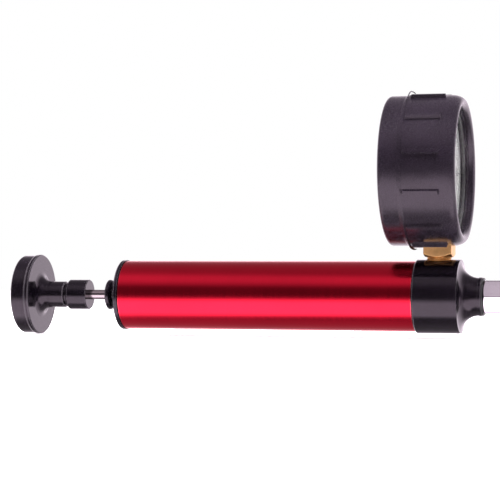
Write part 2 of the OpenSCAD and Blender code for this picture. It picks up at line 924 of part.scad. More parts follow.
// Outline that the two plates share
module plate_outline() {
    low = low_pillar_z - pillar_d / 2 - 0.6;
    pad_r = pillar_d / 2 + 0.9;
    difference() {
        union() {
            translate([-plate_w / 2, low])
                square([plate_w, pillar_up - low]);
            translate([0, pillar_up])
                circle(plate_w / 2);
            translate([-pillar_side, pillar_up - pad_r])
                square([2 * pillar_side, 2 * pad_r]);
            for (side = [-1, 1])
                translate([side * pillar_side, pillar_up])
                    circle(pad_r);
        }
        circle(d = arbor_d + 2 * run_gap);
        translate(pivot)
            circle(d = sector_arbor_d + 2 * run_gap);
    }
}

module rear_plate() {
    foot = block_top + fit_gap;
    color(brass)
        at_gauge()
            difference() {
                plate_x(rear_plate_x, plate_t)
                    union() {
                        plate_outline();
                        translate([-block_w / 2, foot])
                            square([block_w, bracket_top - foot]);
                    }
                for (side = [-1, 1])
                    pin_at([side * screw_y, plate_screw_z])
                        bar_x(small_screw_d + 2 * fit_gap, rear_plate_x - 1, rear_plate_x + plate_t + 1);
            }
}

module front_plate() {
    color(brass)
        at_gauge() {
            plate_x(front_plate_x, plate_t)
                plate_outline();
            pin_at([0, hair_out + hair_t + 0.6])
                bar_x(1, front_plate_x + plate_t / 2, hair_x + hair_w + 0.2);
        }
}

module plate_screws() {
    color(steel)
        at_gauge()
            for (side = [-1, 1])
                pin_at([side * screw_y, plate_screw_z])
                    screw(small_screw_d, rear_plate_x + plate_t, plate_t + 2.3, 0.8, 1);
}

module plate_pillars() {
    color(brass)
        at_gauge()
            for (point = [[-pillar_side, pillar_up], [pillar_side, pillar_up], [0, low_pillar_z]])
                pin_at(point)
                    bar_x(pillar_d, rear_plate_x + plate_t, front_plate_x);
}

module dial_posts() {
    foot = front_plate_x + plate_t;
    top = dial_x - dial_t;
    color(brass)
        at_gauge()
            for (side = [-1, 1])
                pin_at([side * pillar_side, pillar_up])
                    difference() {
                        bar_x(pillar_d, foot, top);
                        bar_x(small_screw_d + 2 * fit_gap, top - 3, top + 1);
                    }
}

// Half of a tooth's angle at a radius, for a 20 degree involute
function tooth_half(teeth, r) =
    let (
        pitch_r = tooth_m * teeth / 2,
        press = acos(min(1, pitch_r * cos(20) / r)),
        slack = tooth_slack / 2 / pitch_r
    )
    90 / teeth + (tan(20) - tan(press) - slack) * 180 / PI - 20 + press;

// One tooth that points up, from just inside its root
module tooth(teeth, root_r, tip_r) {
    steps = 4;
    base_r = max(root_r, tooth_m * teeth / 2 * cos(20));
    radii = [root_r - 0.1, for (i = [0:steps]) base_r + (tip_r - base_r) * i / steps];
    left = [for (r = radii) clock(-tooth_half(teeth, max(r, base_r)), r)];
    right = [for (i = [len(radii) - 1:-1:0]) [-left[i][0], left[i][1]]];
    polygon(concat(left, right));
}

module sector_gear() {
    root_r = sector_r - pinion_tip - tooth_clear;
    rim = 2;
    arm_w = 1.6;
    step = 360 / sector_teeth;
    last = ceil(sector_turn / step) + 2;
    reach = (sector_r + 2) * 1.2;
    color(brass)
        at_gauge() {
            plate_x(sector_x, sector_t)
                translate(pivot) {
                    intersection() {
                        difference() {
                            circle(root_r);
                            circle(root_r - rim);
                        }
                        polygon([
                            [0, 0], clock(-2.6 * step, reach), clock(step * last / 2, reach),
                            clock((last + 0.6) * step, reach)
                        ]);
                    }
                    for (k = [-2:last])
                        rotate(-k * step)
                            tooth(sector_teeth, root_r, sector_r + sector_tip);
                    for (k = [-1, last - 1])
                        rotate(-k * step)
                            translate([-arm_w / 2, 0])
                                square([arm_w, root_r - rim / 2]);
                    circle(sector_arbor_d / 2 + 1.4);
                    rotate(tail_rest) {
                        translate([0, -1])
                            square([tail_len, 2]);
                        translate([tail_len, 0])
                            circle(tail_pin_d / 2 + 0.8);
                    }
                }
            pin_at(pivot)
                bar_x(sector_arbor_d, rear_plate_x, front_plate_x + plate_t);
            pin_at(tail_point)
                bar_x(tail_pin_d, sector_x, link_x + link_t + 0.4);
        }
}

module pinion() {
    root_r = pinion_r - sector_tip - tooth_clear;
    color(brass)
        at_gauge() {
            plate_x(pinion_x, pinion_w)
                union() {
                    circle(root_r);
                    for (k = [0:pinion_teeth - 1])
                        rotate(180 + (k + 0.5) * 360 / pinion_teeth)
                            tooth(pinion_teeth, root_r, pinion_r + pinion_tip);
                }
            bar_x(arbor_d, rear_plate_x, needle_x);
            bar_x(2 * (hair_in - hair_t), hair_x - 0.2, hair_x + hair_w + 0.2);
        }
}

module hairspring() {
    steps = 24 * hair_turns;
    rise = (hair_out - hair_in) / steps;
    color(brass)
        at_gauge()
            plate_x(hair_x, hair_w)
                polygon(concat(
                    [for (i = [0:steps]) clock(15 * i, hair_in + rise * i)],
                    [for (i = [steps:-1:0]) clock(15 * i, hair_in + rise * i + hair_t)]
                ));
}

// ---------------------------------------------------------------- dial, pointer and lens

module dial() {
    color(white)
        at_gauge()
            plate_x(dial_x - dial_t, dial_t)
                difference() {
                    circle(case_ir - free_gap);
                    circle(d = hub_d);
                    for (side = [-1, 1])
                        translate([side * pillar_side, pillar_up])
                            circle(d = small_screw_d + 2 * fit_gap);
                }
}

module dial_screws() {
    color(steel)
        at_gauge()
            for (side = [-1, 1])
                pin_at([side * pillar_side, pillar_up])
                    screw(small_screw_d, dial_x, dial_t + 2, 0.3, 1);
}

module pointer_stop() {
    aside = stop_pin_d / 2 + 0.7 + free_gap;
    color(steel)
        at_gauge()
            pin_at(clock(zero_angle - asin(aside / stop_r), stop_r))
                bar_x(stop_pin_d, dial_x, needle_x + needle_t + 0.3);
}

module pointer() {
    tail = 9;
    hub_back = dial_x + 0.2;
    hub_front = needle_x + needle_t + 0.3;
    color(black)
        at_gauge()
            difference() {
                union() {
                    plate_x(needle_x, needle_t)
                        rotate(-zero_angle)
                            polygon([
                                [-1.3, -tail], [1.3, -tail], [0.8, 0], [0.2, pointer_len],
                                [-0.2, pointer_len], [-0.8, 0]
                            ]);
                    bar_x(hub_d, hub_back, hub_front);
                }
                bar_x(arbor_d + 2 * fit_gap, hub_back - 1, needle_x + fit_gap);
            }
}

module lens_gasket() {
    color(rubber)
        at_gauge()
            turned([[case_ir, gasket_x], [case_r, gasket_x], [case_r, lens_x], [case_ir, lens_x]]);
}

module lens() {
    color(clear)
        at_gauge()
            bar_x(2 * lens_r, lens_x, lens_front);
}

module bezel() {
    color(black)
        at_gauge()
            turned([
                [bezel_ir, skirt_back], [bezel_r, skirt_back], [bezel_r, bezel_front - 0.4],
                [bezel_r - 0.4, bezel_front], [window_r, bezel_front],
                [window_r, lens_front + fit_gap], [bezel_ir, lens_front + fit_gap]
            ]);
}

module rubber_boot() {
    back_round = 2;
    mouth_x = boot_front - 3;
    nose_mid = boot_r - boot_round_r;
    seam = boot_back + seam_x;
    notch = square_w + 2 * free_gap;
    color(rubber)
        at_gauge()
            difference() {
                union() {
                    turned(concat(
                        [[boot_hole_r, boot_back]],
                        arc([boot_r - back_round, boot_back + back_round], [back_round, back_round], -90, 0),
                        [
                            [boot_r, seam - 0.3], [boot_r + seam_h, seam - 0.1],
                            [boot_r + seam_h, seam + 0.1], [boot_r, seam + 0.3]
                        ],
                        arc([nose_mid, boot_front - boot_round], [boot_round_r, boot_round], 0, 90),
                        arc([nose_mid, mouth_x], [nose_mid - boot_mouth_r, 3], 90, 180),
                        [
                            [boot_mouth_r, bezel_front + fit_gap], [boot_bezel_r, bezel_front + fit_gap],
                            [boot_bezel_r, skirt_back - free_gap], [boot_inner_r, skirt_back - free_gap],
                            [boot_inner_r, -case_back - fit_gap], [boot_hole_r, -case_back - fit_gap]
                        ]
                    ));
                    for (k = [0:boot_ribs - 1])
                        rotate([(k + 0.5) * 360 / boot_ribs + rib_turn, 0, 0])
                            translate([seam + 1.3, -rib_w / 2, boot_r - 1])
                                cube([rib_len, rib_w, rib_h + 1]);
                }
                translate([-notch / 2, -notch / 2, -boot_r - rib_h])
                    cube([notch, notch, boot_wall + rib_h + 2]);
            }
}

// ---------------------------------------------------------------- outlet

module outlet_washer() {
    hole_r = outlet_d / 2 + free_gap;
    r = head_mouth_d / 2;
    color(black)
        turned([[hole_r, head_mouth], [r, head_mouth], [r, hex_back], [hole_r, hex_back]]);
}

module outlet_body() {
    thread_r = outlet_d / 2;
    socket_r = socket_d / 2;
    corner_r = hex_af / sqrt(3);
    bevel = (corner_r - hex_af / 2 + 0.3) / sqrt(3);
    relief_back = socket_lead - 2 * lock_x;
    relief_r = socket_r + socket_relief;
    seal_x = (relief_back - socket_depth) / 2;
    groove = socket_seal_d * 0.8;
    groove_r = socket_r + socket_seal_d - 0.35;
    ring_seat_r = nose_r - 0.8;
    back = head_mouth - outlet_thread;
    color(nickel)
        difference() {
            union() {
                turned([
                    [0, back], [thread_r - 0.5, back], [thread_r, back + 0.5],
                    [thread_r, hex_back + 1], [0, hex_back + 1]
                ]);
                intersection() {
                    hex_x(hex_af, hex_back, hex_front);
                    turned([
                        [0, hex_back], [hex_af / 2 - 0.3, hex_back], [corner_r, hex_back + bevel],
                        [corner_r, hex_front - bevel], [hex_af / 2 - 0.3, hex_front], [0, hex_front]
                    ]);
                }
                turned([
                    [0, hex_front - 1], [hex_af / 2 - 0.5, hex_front - 1], [hex_af / 2 - 0.5, hex_front],
                    [seat_collar_r, hex_front], [seat_collar_r, nose_back], [nose_r, nose_back],
                    [nose_r, ring_back - fit_gap], [ring_seat_r, ring_back - fit_gap],
                    [ring_seat_r, ring_front + fit_gap], [nose_r, ring_front + fit_gap],
                    [nose_r, -0.3], [nose_r - 0.3, 0], [0, 0]
                ]);
            }
            turned([
                [0, back - 1], [passage_d / 2, back - 1], [passage_d / 2, -socket_depth],
                [socket_r, -socket_depth], [socket_r, seal_x - groove], [groove_r, seal_x - groove],
                [groove_r, seal_x + groove], [socket_r, seal_x + groove],
                [socket_r, relief_back], [relief_r, relief_back],
                [relief_r, -socket_lead], [socket_r, -socket_lead], [socket_r, 1], [0, 1]
            ]);
            for (k = [0:lock_balls - 1])
                rotate([k * 360 / lock_balls, 0, 0])
                    translate([-lock_x, 0, socket_r - 0.1]) {
                        cylinder(r1 = lock_ball_r - 0.3, r2 = lock_ball_r + fit_gap, h = 0.8);
                        translate([0, 0, 0.8])
                            cylinder(r = lock_ball_r + fit_gap, h = nose_r);
                    }
        }
}

module socket_seal() {
    relief_back = socket_lead - 2 * lock_x;
    color(rubber)
        ring_x(socket_d / 2 + socket_seal_d / 2 - 0.4, socket_seal_d, (relief_back - socket_depth) / 2);
}

// Locking ball, the first at the top and the others round the axis in turn
module lock_ball(k) {
    color(steel)
        rotate([k * 360 / lock_balls, 0, 0])
            translate([-lock_x, 0, lock_centre_r])
                sphere(r = lock_ball_r);
}

module coupler_sleeve() {
    r = sleeve_d / 2;
    cone_end = sleeve_cone_x + (sleeve_recess_r - sleeve_land_r) / sleeve_slope;
    grip = 1.2;
    pitch = 2.2;
    color(nickel)
        difference() {
            turned([
                [sleeve_pocket_r, sleeve_back], [r - 0.8, sleeve_back], [r, sleeve_back + 0.8],
                [r, sleeve_front - 1.5], [r - 1.5, sleeve_front], [sleeve_recess_r, sleeve_front],
                [sleeve_recess_r, cone_end], [sleeve_land_r, sleeve_cone_x],
                [sleeve_land_r, sleeve_step], [sleeve_pocket_r, sleeve_step]
            ]);
            for (i = [0:sleeve_grooves - 1])
                turned([
                    [r + 0.1, sleeve_back + 4 + pitch * i - grip / 2],
                    [r - 0.5, sleeve_back + 4 + pitch * i],
                    [r + 0.1, sleeve_back + 4 + pitch * i + grip / 2]
                ]);
        }
}

module sleeve_spring() {
    margin = sleeve_wire / 2 + free_gap / 2;
    color(steel)
        coil(sleeve_coil_r, sleeve_wire, nose_back + margin, sleeve_step - margin, sleeve_turns, 24, 8);
}

module snap_ring() {
    color(steel)
        rotate([0, 90, 0])
            rotate(20)
                rotate_extrude(angle = 330)
                    translate([nose_r - 0.75, ring_back])
                        square([ring_r - nose_r + 0.75, ring_w]);
}

barrel();
end_cap();
rod_guide();
head();
barrel_seal();
valve_seat();
valve_ball();
check_spring();
rod();
pull_knob();
rod_collar();
piston_nut();
piston_disc();
cup_seal();
cup_washer();
gauge_socket();
gauge_case();
case_screws();
bourdon_tube();
tube_tip();
tip_link();
rear_plate();
front_plate();
plate_screws();
plate_pillars();
dial_posts();
sector_gear();
pinion();
hairspring();
dial();
dial_screws();
pointer_stop();
pointer();
lens_gasket();
lens();
bezel();
rubber_boot();
outlet_washer();
outlet_body();
socket_seal();
lock_ball(0);  // lock_ball_1
lock_ball(1);  // lock_ball_2
lock_ball(2);  // lock_ball_3
lock_ball(3);  // lock_ball_4
coupler_sleeve();
sleeve_spring();
snap_ring();
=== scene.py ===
"""Dresses the pump of a cooling-system pressure tester.

Finishes for its solids, finer pieces over those that show, and a studio.
"""

import json
import math

import bmesh
import bpy
import numpy as np
from bpy.props import FloatProperty, FloatVectorProperty, IntProperty, PointerProperty
from mathutils import Matrix, Vector


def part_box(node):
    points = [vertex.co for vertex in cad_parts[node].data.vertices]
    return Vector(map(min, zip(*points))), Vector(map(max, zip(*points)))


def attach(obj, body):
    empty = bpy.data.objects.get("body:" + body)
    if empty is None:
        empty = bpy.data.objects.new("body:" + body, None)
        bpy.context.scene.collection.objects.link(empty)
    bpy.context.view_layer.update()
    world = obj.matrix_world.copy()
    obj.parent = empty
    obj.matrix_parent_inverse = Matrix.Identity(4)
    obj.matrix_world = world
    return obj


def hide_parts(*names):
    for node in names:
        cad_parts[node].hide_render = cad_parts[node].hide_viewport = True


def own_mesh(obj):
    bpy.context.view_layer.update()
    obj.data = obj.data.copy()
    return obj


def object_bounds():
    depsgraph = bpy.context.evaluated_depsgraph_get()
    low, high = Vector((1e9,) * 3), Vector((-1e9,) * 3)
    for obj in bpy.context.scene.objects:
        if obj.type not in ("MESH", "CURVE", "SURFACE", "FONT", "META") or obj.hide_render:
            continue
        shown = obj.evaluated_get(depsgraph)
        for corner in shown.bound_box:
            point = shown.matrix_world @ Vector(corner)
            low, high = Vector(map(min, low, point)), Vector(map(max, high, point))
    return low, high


bl_info = {
    "name": "Pressure Tester Pump",
    "version": (1, 0, 0),
    "blender": (4, 5, 0),
    "location": "View3D > Sidebar > Pump",
    "description": "Builds the looks of a hand pump with a dial gauge over its packed solids",
    "category": "Object",
}

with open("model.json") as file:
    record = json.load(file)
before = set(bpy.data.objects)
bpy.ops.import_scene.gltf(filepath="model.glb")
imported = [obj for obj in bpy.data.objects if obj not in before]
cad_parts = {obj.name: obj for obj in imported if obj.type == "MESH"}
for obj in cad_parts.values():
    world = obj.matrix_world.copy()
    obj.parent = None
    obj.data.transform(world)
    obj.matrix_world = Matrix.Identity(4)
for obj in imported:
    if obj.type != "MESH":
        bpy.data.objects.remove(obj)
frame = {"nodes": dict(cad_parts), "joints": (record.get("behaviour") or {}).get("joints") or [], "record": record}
CAD_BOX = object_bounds()
RECORD = frame["record"]
BODY = {node: body for body, nodes in RECORD["behaviour"]["bodies"].items() for node in nodes}
SLOT = {part["node"]: part["material_slot"] for part in RECORD["subparts"]}
MM = 0.001
PUMP = (0.0, 0.0, 0.0)
GAUGE = (-68.5, 0.0, 62.5)
HALF_SWEEP = 135  # degrees from the top of the dial to either end of its scale
PRINT = 0.04  # height of the dial's print, in millimetres
PEAK = 4.0  # strength that the world's levels are written as shares of


def span(node):
    """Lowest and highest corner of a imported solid, in millimetres."""
    low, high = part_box(node)
    return np.array(low) / MM, np.array(high) / MM


# ---------------------------------------------------------------- settings


def length(name, text, mm, low, high):
    """A length setting, written here in millimetres and kept in metres."""
    return FloatProperty(
        name=name, description=text, default=mm * MM, min=low * MM, max=high * MM, unit="LENGTH", precision=5
    )


def colour(name, text, red, green, blue):
    """A colour setting, in linear light."""
    return FloatVectorProperty(
        name=name, description=text, default=(red, green, blue), min=0, max=1, size=3, subtype="COLOR"
    )


def share(name, text, value):
    """A setting from 0 to 1."""
    return FloatProperty(name=name, description=text, default=value, min=0, max=1, subtype="FACTOR")


class PumpSizes(bpy.types.PropertyGroup):
    """Sizes of the details that the dressed pieces add."""

    ease: length("Edge easing", "Rounding of a plain turned edge", 0.08, 0.02, 0.3)
    wall: length("Barrel wall", "Wall of the barrel's tube", 2, 1, 3)
    chamfer: length("Barrel chamfer", "Chamfer at the barrel's ends", 0.4, 0.1, 0.8)
    pitch: length("Thread pitch", "Pitch of the stem's thread", 1.05, 0.5, 2)
    square_foot: length("Square's foot", "Height of the wrench square's foot over the axis", 19.65, 18, 22)
    hexagon: length("Hexagon", "Size across the flats of the outlet's hexagon", 16.2, 14, 20)
    corner_power: FloatProperty(
        name="Corner sharpness", description="Power of the mean that rounds the flats' corners",
        default=60, min=20,
    )
    ribs: IntProperty(name="Ribs", description="Ribs round the boot", default=12, min=4, max=24)
    rib_turn: FloatProperty(
        name="Rib turn", description="Turn of the first rib from the top", default=math.radians(19),
        unit="ROTATION",
    )
    divisions: IntProperty(
        name="Divisions", description="Numbered steps of the scale", default=6, min=2, max=12
    )
    number_step: IntProperty(
        name="Number step", description="Rise from one number to the next", default=5, min=1
    )
    number_height: FloatProperty(
        name="Number height", description="Height of the dial's numbers, in mm", default=3.4, min=1, max=6
    )


class PumpFinishes(bpy.types.PropertyGroup):
    """Colours and gloss of the pump's finishes."""

    red: colour("Red", "Dyed aluminium of the barrel", 0.88, 0.014, 0.046)
    black: colour("Black", "Dyed aluminium of head, cap and knob", 0.0018, 0.0012, 0.0022)
    steel: colour("Steel", "Ground steel of rod and screws", 0.46, 0.40, 0.41)
    nickel: colour("Nickel", "Plating of the outlet", 0.84, 0.79, 0.84)
    brass: colour("Brass", "Stem and movement", 0.90, 0.55, 0.22)
    rubber: colour("Rubber", "Moulded boot", 0.0068, 0.0046, 0.0078)
    white: colour("White", "Dial", 0.88, 0.88, 0.86)
    gloss: share("Roughness", "Roughness of the dyed aluminium", 0.22)
    black_gloss: share("Black roughness", "Roughness of the black aluminium", 0.14)


class PumpStudio(bpy.types.PropertyGroup):
    """Camera and light."""

    distance: FloatProperty(
        name="Distance", description="From camera to pump", default=0.910, unit="LENGTH"
    )
    aside: FloatProperty(
        name="Aside", description="Camera's place along the pump", default=0.0799, unit="LENGTH"
    )
    height: FloatProperty(
        name="Height", description="Camera above the pump's axis", default=0.0070, unit="LENGTH"
    )
    yaw: FloatProperty(
        name="Yaw", description="Turn toward the knob", default=math.radians(15.109), unit="ROTATION"
    )
    pitch: FloatProperty(
        name="Pitch", description="Tilt upward", default=math.radians(0.982), unit="ROTATION"
    )
    roll: FloatProperty(
        name="Roll", description="Turn in the picture", default=math.radians(0.242), unit="ROTATION"
    )
    focal: FloatProperty(name="Focal length", description="In mm on a 36 mm sensor", default=133.2, min=20)
    floor: colour("Floor", "Pale floor", 0.85, 0.85, 0.86)
    side: FloatProperty(name="Side boxes", description="Power of each soft box", default=24.0, unit="POWER")


# ---------------------------------------------------------------- materials


class Finish:
    """One material's nodes, with short ways to add and join them."""

    def __init__(self, name, rgb, metallic, roughness, **sockets):
        self.material = bpy.data.materials.new(name)
        self.material.use_nodes = True
        tree = self.material.node_tree
        self.nodes, self.links = tree.nodes, tree.links
        self.shader = tree.nodes["Principled BSDF"]
        self.join("Base Color", (*rgb, 1))
        self.join("Metallic", metallic)
        self.join("Roughness", roughness)
        for socket, value in sockets.items():
            self.join(socket.replace("_", " "), value)
        self.where = self.add("ShaderNodeTexCoord").outputs["Object"]
        self.normal = None

    def join(self, socket, value, node=None):
        """Sets a socket, or links it when the value is another node's output."""
        target = (node or self.shader).inputs[socket]
        if isinstance(value, bpy.types.NodeSocket):
            self.links.new(value, target)
        else:
            target.default_value = value

    def add(self, kind, inputs=(), **settings):
        """A node with its settings and inputs."""
        node = self.nodes.new(kind)
        for key, value in settings.items():
            setattr(node, key, value)
        for socket, value in dict(inputs).items():
            self.join(socket, value, node)
        return node

    def math(self, operation, *values):
        """Result of a sum on one to three values."""
        return self.add("ShaderNodeMath", dict(enumerate(values)), operation=operation).outputs[0]

    def round_axis(self, centre, axis="x"):
        """(distance along an axis through the centre, distance from it, 0), in millimetres."""
        place = self.add("ShaderNodeMapping", {"Vector": self.where, "Location": [-c for c in centre]})
        self.join("Scale", (1000, 1000, 1000), place)
        parts = self.add("ShaderNodeSeparateXYZ", {0: place.outputs[0]}).outputs
        along, one, two = (parts[0], parts[1], parts[2]) if axis == "x" else (parts[2], parts[0], parts[1])
        squares = [self.math("MULTIPLY", part, part) for part in (one, two)]
        out = self.math("SQRT", self.math("ADD", *squares))
        return self.add("ShaderNodeCombineXYZ", {0: along, 1: out}).outputs[0]

    def stretched(self, scale):
        """Place on the object, with each direction scaled, in counts per millimetre."""
        return self.add(
            "ShaderNodeMapping", {"Vector": self.where, "Scale": [1000 * s for s in scale]}
        ).outputs[0]

    def noise(self, vector, scale=1.0, detail=2.0, low=0.3, high=0.7):
        """Cloudy value from 0 to 1 between two limits of the noise."""
        fac = self.add("ShaderNodeTexNoise", {"Vector": vector, "Scale": scale, "Detail": detail}).outputs[0]
        return self.add("ShaderNodeMapRange", {0: fac, 1: low, 2: high}).outputs[0]

    def between(self, fac, low, high):
        """Number between low and high as fac goes from 0 to 1."""
        return self.add("ShaderNodeMapRange", {0: fac, 3: low, 4: high}).outputs[0]

    def blend(self, fac, first, second):
        """Colour between two colours."""
        node = self.add("ShaderNodeMix", data_type="RGBA")
        self.join(0, fac, node)
        for index, value in ((6, first), (7, second)):
            self.join(index, value if isinstance(value, bpy.types.NodeSocket) else (*value, 1), node)
        return node.outputs[2]

    def bump(self, height, depth, strength=1.0):
        """Adds a relief of that depth in millimetres."""
        inputs = {"Height": height, "Distance": depth * MM, "Strength": strength}
        if self.normal is not None:
            inputs["Normal"] = self.normal
        self.normal = self.add("ShaderNodeBump", inputs).outputs[0]
        self.join("Normal", self.normal)

    def edges(self):
        """1 on the eased edges of a turned piece and 0 elsewhere."""
        return self.add("ShaderNodeAttribute", attribute_name="edge").outputs["Fac"]


def tint(rgb, factor):
    """A lighter or darker tone of a colour."""
    return tuple(min(1.0, c * factor) for c in rgb)


def red_anodised(look, centre=PUMP):
    """Dyed aluminium: a clear red over turned metal, with fine rings and a slight change of tone."""
    finish = Finish("red_anodised", look.red, 1.0, look.gloss, Coat_Weight=0.1, Coat_Roughness=0.12)
    rings = finish.round_axis(centre)
    cloud = finish.noise(finish.stretched((0.02, 0.05, 0.05)), 1.0, 3.0)
    tone = finish.blend(cloud, tint(look.red, 0.86), look.red)
    # Paler pink on the eased edges, partly edge wear and partly a painted highlight along them.
    wear_and_highlight = finish.math("MULTIPLY", finish.edges(), 0.55)
    finish.join("Base Color", finish.blend(wear_and_highlight, tone, (0.85, 0.30, 0.34)))
    fine = finish.noise(rings, 3.0, 3.0)
    finish.join("Roughness", finish.between(fine, look.gloss - 0.03, look.gloss + 0.05))
    finish.bump(fine, 0.0015)
    return finish.material


def black_anodised(look, centre=PUMP):
    """Black dyed aluminium: glossy, with the fine rings of the lathe and paler edges."""
    finish = Finish(
        "black_anodised", look.black, 0.0, look.black_gloss, IOR=1.5, Specular_Tint=(1.0, 0.9, 1.0, 1)
    )
    rings = finish.round_axis(centre)
    cloud = finish.noise(finish.stretched((0.06, 0.06, 0.06)), 1.0, 3.0)
    tone = finish.blend(cloud, tint(look.black, 0.8), tint(look.black, 1.5))
    # Paler grey on the eased edges, partly edge wear and partly a painted highlight along them.
    wear_and_highlight = finish.math("MULTIPLY", finish.edges(), 0.12)
    finish.join("Base Color", finish.blend(wear_and_highlight, tone, (0.16, 0.14, 0.16)))
    fine = finish.noise(rings, 2.5, 4.0)
    finish.join("Roughness", finish.between(fine, look.black_gloss - 0.04, look.black_gloss + 0.04))
    finish.bump(fine, 0.0008)
    return finish.material


def bright_steel(look, centre=PUMP):
    """Ground steel: fine lines along the pump and faint marks round it."""
    finish = Finish("bright_steel", look.steel, 1.0, 0.2)
    lines = finish.noise(finish.stretched((0.15, 6, 6)), 1.0, 3.0)
    finish.join("Base Color", finish.blend(lines, tint(look.steel, 0.86), tint(look.steel, 1.08)))
    rings = finish.noise(finish.round_axis(centre), 2.0, 3.0)
    finish.join("Roughness", finish.between(rings, 0.13, 0.26))
    finish.bump(rings, 0.0015)
    return finish.material


def nickel_plate(look, centre=PUMP):
    """Bright plating over a machined fitting: softened tool marks and faint stains."""
    finish = Finish("nickel_plate", look.nickel, 1.0, 0.12)
    stain = finish.noise(finish.stretched((0.12, 0.12, 0.12)), 1.0, 4.0)
    finish.join("Base Color", finish.blend(stain, tint(look.nickel, 0.92), tint(look.nickel, 1.03)))
    rings = finish.noise(finish.round_axis(centre), 1.6, 2.0)
    finish.join("Roughness", finish.between(rings, 0.08, 0.18))
    finish.bump(rings, 0.0015)
    return finish.material


def brass(look, centre=PUMP):
    """Machined brass: short mill marks, and a duller, browner tone in clouds."""
    finish = Finish("brass", look.brass, 1.0, 0.45)
    cloud = finish.noise(finish.stretched((0.25, 0.25, 0.25)), 1.0, 5.0)
    finish.join("Base Color", finish.blend(cloud, tint(look.brass, 0.8), tint(look.brass, 1.12)))
    marks = finish.noise(finish.stretched((0.8, 0.8, 9)), 1.0, 3.0)
    finish.join("Roughness", finish.between(marks, 0.38, 0.52))
    finish.bump(marks, 0.003)
    return finish.material


def boot_rubber(look, centre=GAUGE):
    """Matte moulded rubber: fine grain, faint flow clouds and a dusty sheen."""
    finish = Finish(
        "boot_rubber", look.rubber, 0.0, 0.25, IOR=1.5, Specular_Tint=(1.0, 0.9, 1.0, 1), Sheen_Weight=0.01
    )
    cloud = finish.noise(finish.stretched((0.08, 0.08, 0.08)), 1.0, 4.0)
    finish.join("Base Color", finish.blend(cloud, tint(look.rubber, 0.8), tint(look.rubber, 1.3)))
    grain = finish.noise(finish.stretched((1, 1, 1)), 4.0, 3.0)
    finish.join("Roughness", finish.between(grain, 0.20, 0.30))
    finish.bump(grain, 0.004)
    return finish.material


def seal_rubber(look, centre=PUMP):
    """Smooth rubber of the seals, slightly oily."""
    finish = Finish("seal_rubber", (0.014, 0.014, 0.015), 0.0, 0.4)
    cloud = finish.noise(finish.stretched((0.4, 0.4, 0.4)), 1.0, 4.0)
    finish.join("Base Color", finish.blend(cloud, (0.010, 0.010, 0.011), (0.022, 0.021, 0.023)))
    finish.join("Roughness", finish.between(cloud, 0.3, 0.5))
    finish.bump(finish.noise(finish.stretched((1, 1, 1)), 6.0, 2.0), 0.003)
    return finish.material


def case_black(look, centre=GAUGE):
    """Black stoved paint on sheet, with a faint orange-peel relief."""
    finish = Finish("case_black", (0.012, 0.011, 0.012), 0.0, 0.3, IOR=1.5)
    peel = finish.noise(finish.stretched((1, 1, 1)), 1.2, 2.0)
    # Paler grey on the eased edges, partly edge wear and partly a painted highlight along them.
    wear_and_highlight = finish.math("MULTIPLY", finish.edges(), 0.3)
    tone = finish.blend(peel, (0.010, 0.009, 0.010), (0.016, 0.014, 0.016))
    finish.join("Base Color", finish.blend(wear_and_highlight, tone, (0.16, 0.15, 0.16)))
    finish.join("Roughness", finish.between(peel, 0.26, 0.38))
    finish.bump(peel, 0.008)
    return finish.material


def dial_white(look, centre=GAUGE):
    """White enamel of the dial, with a very faint mottle."""
    finish = Finish("dial_white", look.white, 0.0, 0.4)
    mottle = finish.noise(finish.stretched((0.3, 0.3, 0.3)), 1.0, 4.0)
    finish.join("Base Color", finish.blend(mottle, tint(look.white, 0.97), tint(look.white, 1.02)))
    finish.join("Roughness", finish.between(mottle, 0.34, 0.46))
    finish.bump(finish.noise(finish.stretched((1, 1, 1)), 3.0, 2.0), 0.002)
    return finish.material


def pointer_black(look, centre=GAUGE):
    """Matte black paint of pointer and print."""
    finish = Finish("pointer_black", (0.015, 0.015, 0.016), 0.0, 0.5)
    grain = finish.noise(finish.stretched((1, 1, 1)), 5.0, 2.0)
    finish.join("Base Color", finish.blend(grain, (0.012, 0.012, 0.013), (0.022, 0.022, 0.023)))
    finish.join("Roughness", finish.between(grain, 0.42, 0.58))
    finish.bump(grain, 0.002)
    return finish.material


def lens_clear(look, centre=GAUGE):
    """Clear window with faint smears."""
    finish = Finish("lens_clear", (1.0, 1.0, 1.0), 0.0, 0.03, IOR=1.49, Transmission_Weight=1.0)
    smear = finish.noise(finish.stretched((0.3, 0.1, 0.3)), 1.0, 4.0)
    finish.join("Roughness", finish.between(smear, 0.0, 0.06))
    finish.bump(smear, 0.001)
    return finish.material


# Every finish takes the settings and the centre of its rings, also where it needs neither.
FINISHES = {
    make.__name__: make
    for make in (
        red_anodised, black_anodised, bright_steel, nickel_plate, brass, boot_rubber,
        seal_rubber, case_black, dial_white, pointer_black, lens_clear,
    )
}
made = {}


def finish_for(slot, centre=PUMP):
    """The material of a slot, made once for each centre that its rings run round."""
    if (slot, centre) not in made:
        made[slot, centre] = FINISHES[slot](bpy.context.scene.pump_finishes, centre)
    return made[slot, centre]


def paint(node, centre=PUMP):
    """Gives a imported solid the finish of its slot."""
    data = frame["nodes"][node].data
    data.materials.clear()
    data.materials.append(finish_for(SLOT[node], centre))


# ---------------------------------------------------------------- shapes


def arc(centre, radii, start, end, steps=12):
    """Profile rows on an ellipse about (along, radius), between two angles in degrees from +along."""
    turn = np.radians(np.linspace(start, end, steps + 1))
    return np.column_stack(
        [centre[0] + radii[0] * np.cos(turn), centre[1] + radii[1] * np.sin(turn), np.zeros(steps + 1)]
    )


def line(first, last, steps):
    """Profile rows at equal steps between two (along, radius) points."""
    share_of = np.linspace(0, 1, steps + 1)[:, None]
    points = np.array(first) * (1 - share_of) + np.array(last) * share_of
    return np.column_stack([points, np.zeros(steps + 1)])


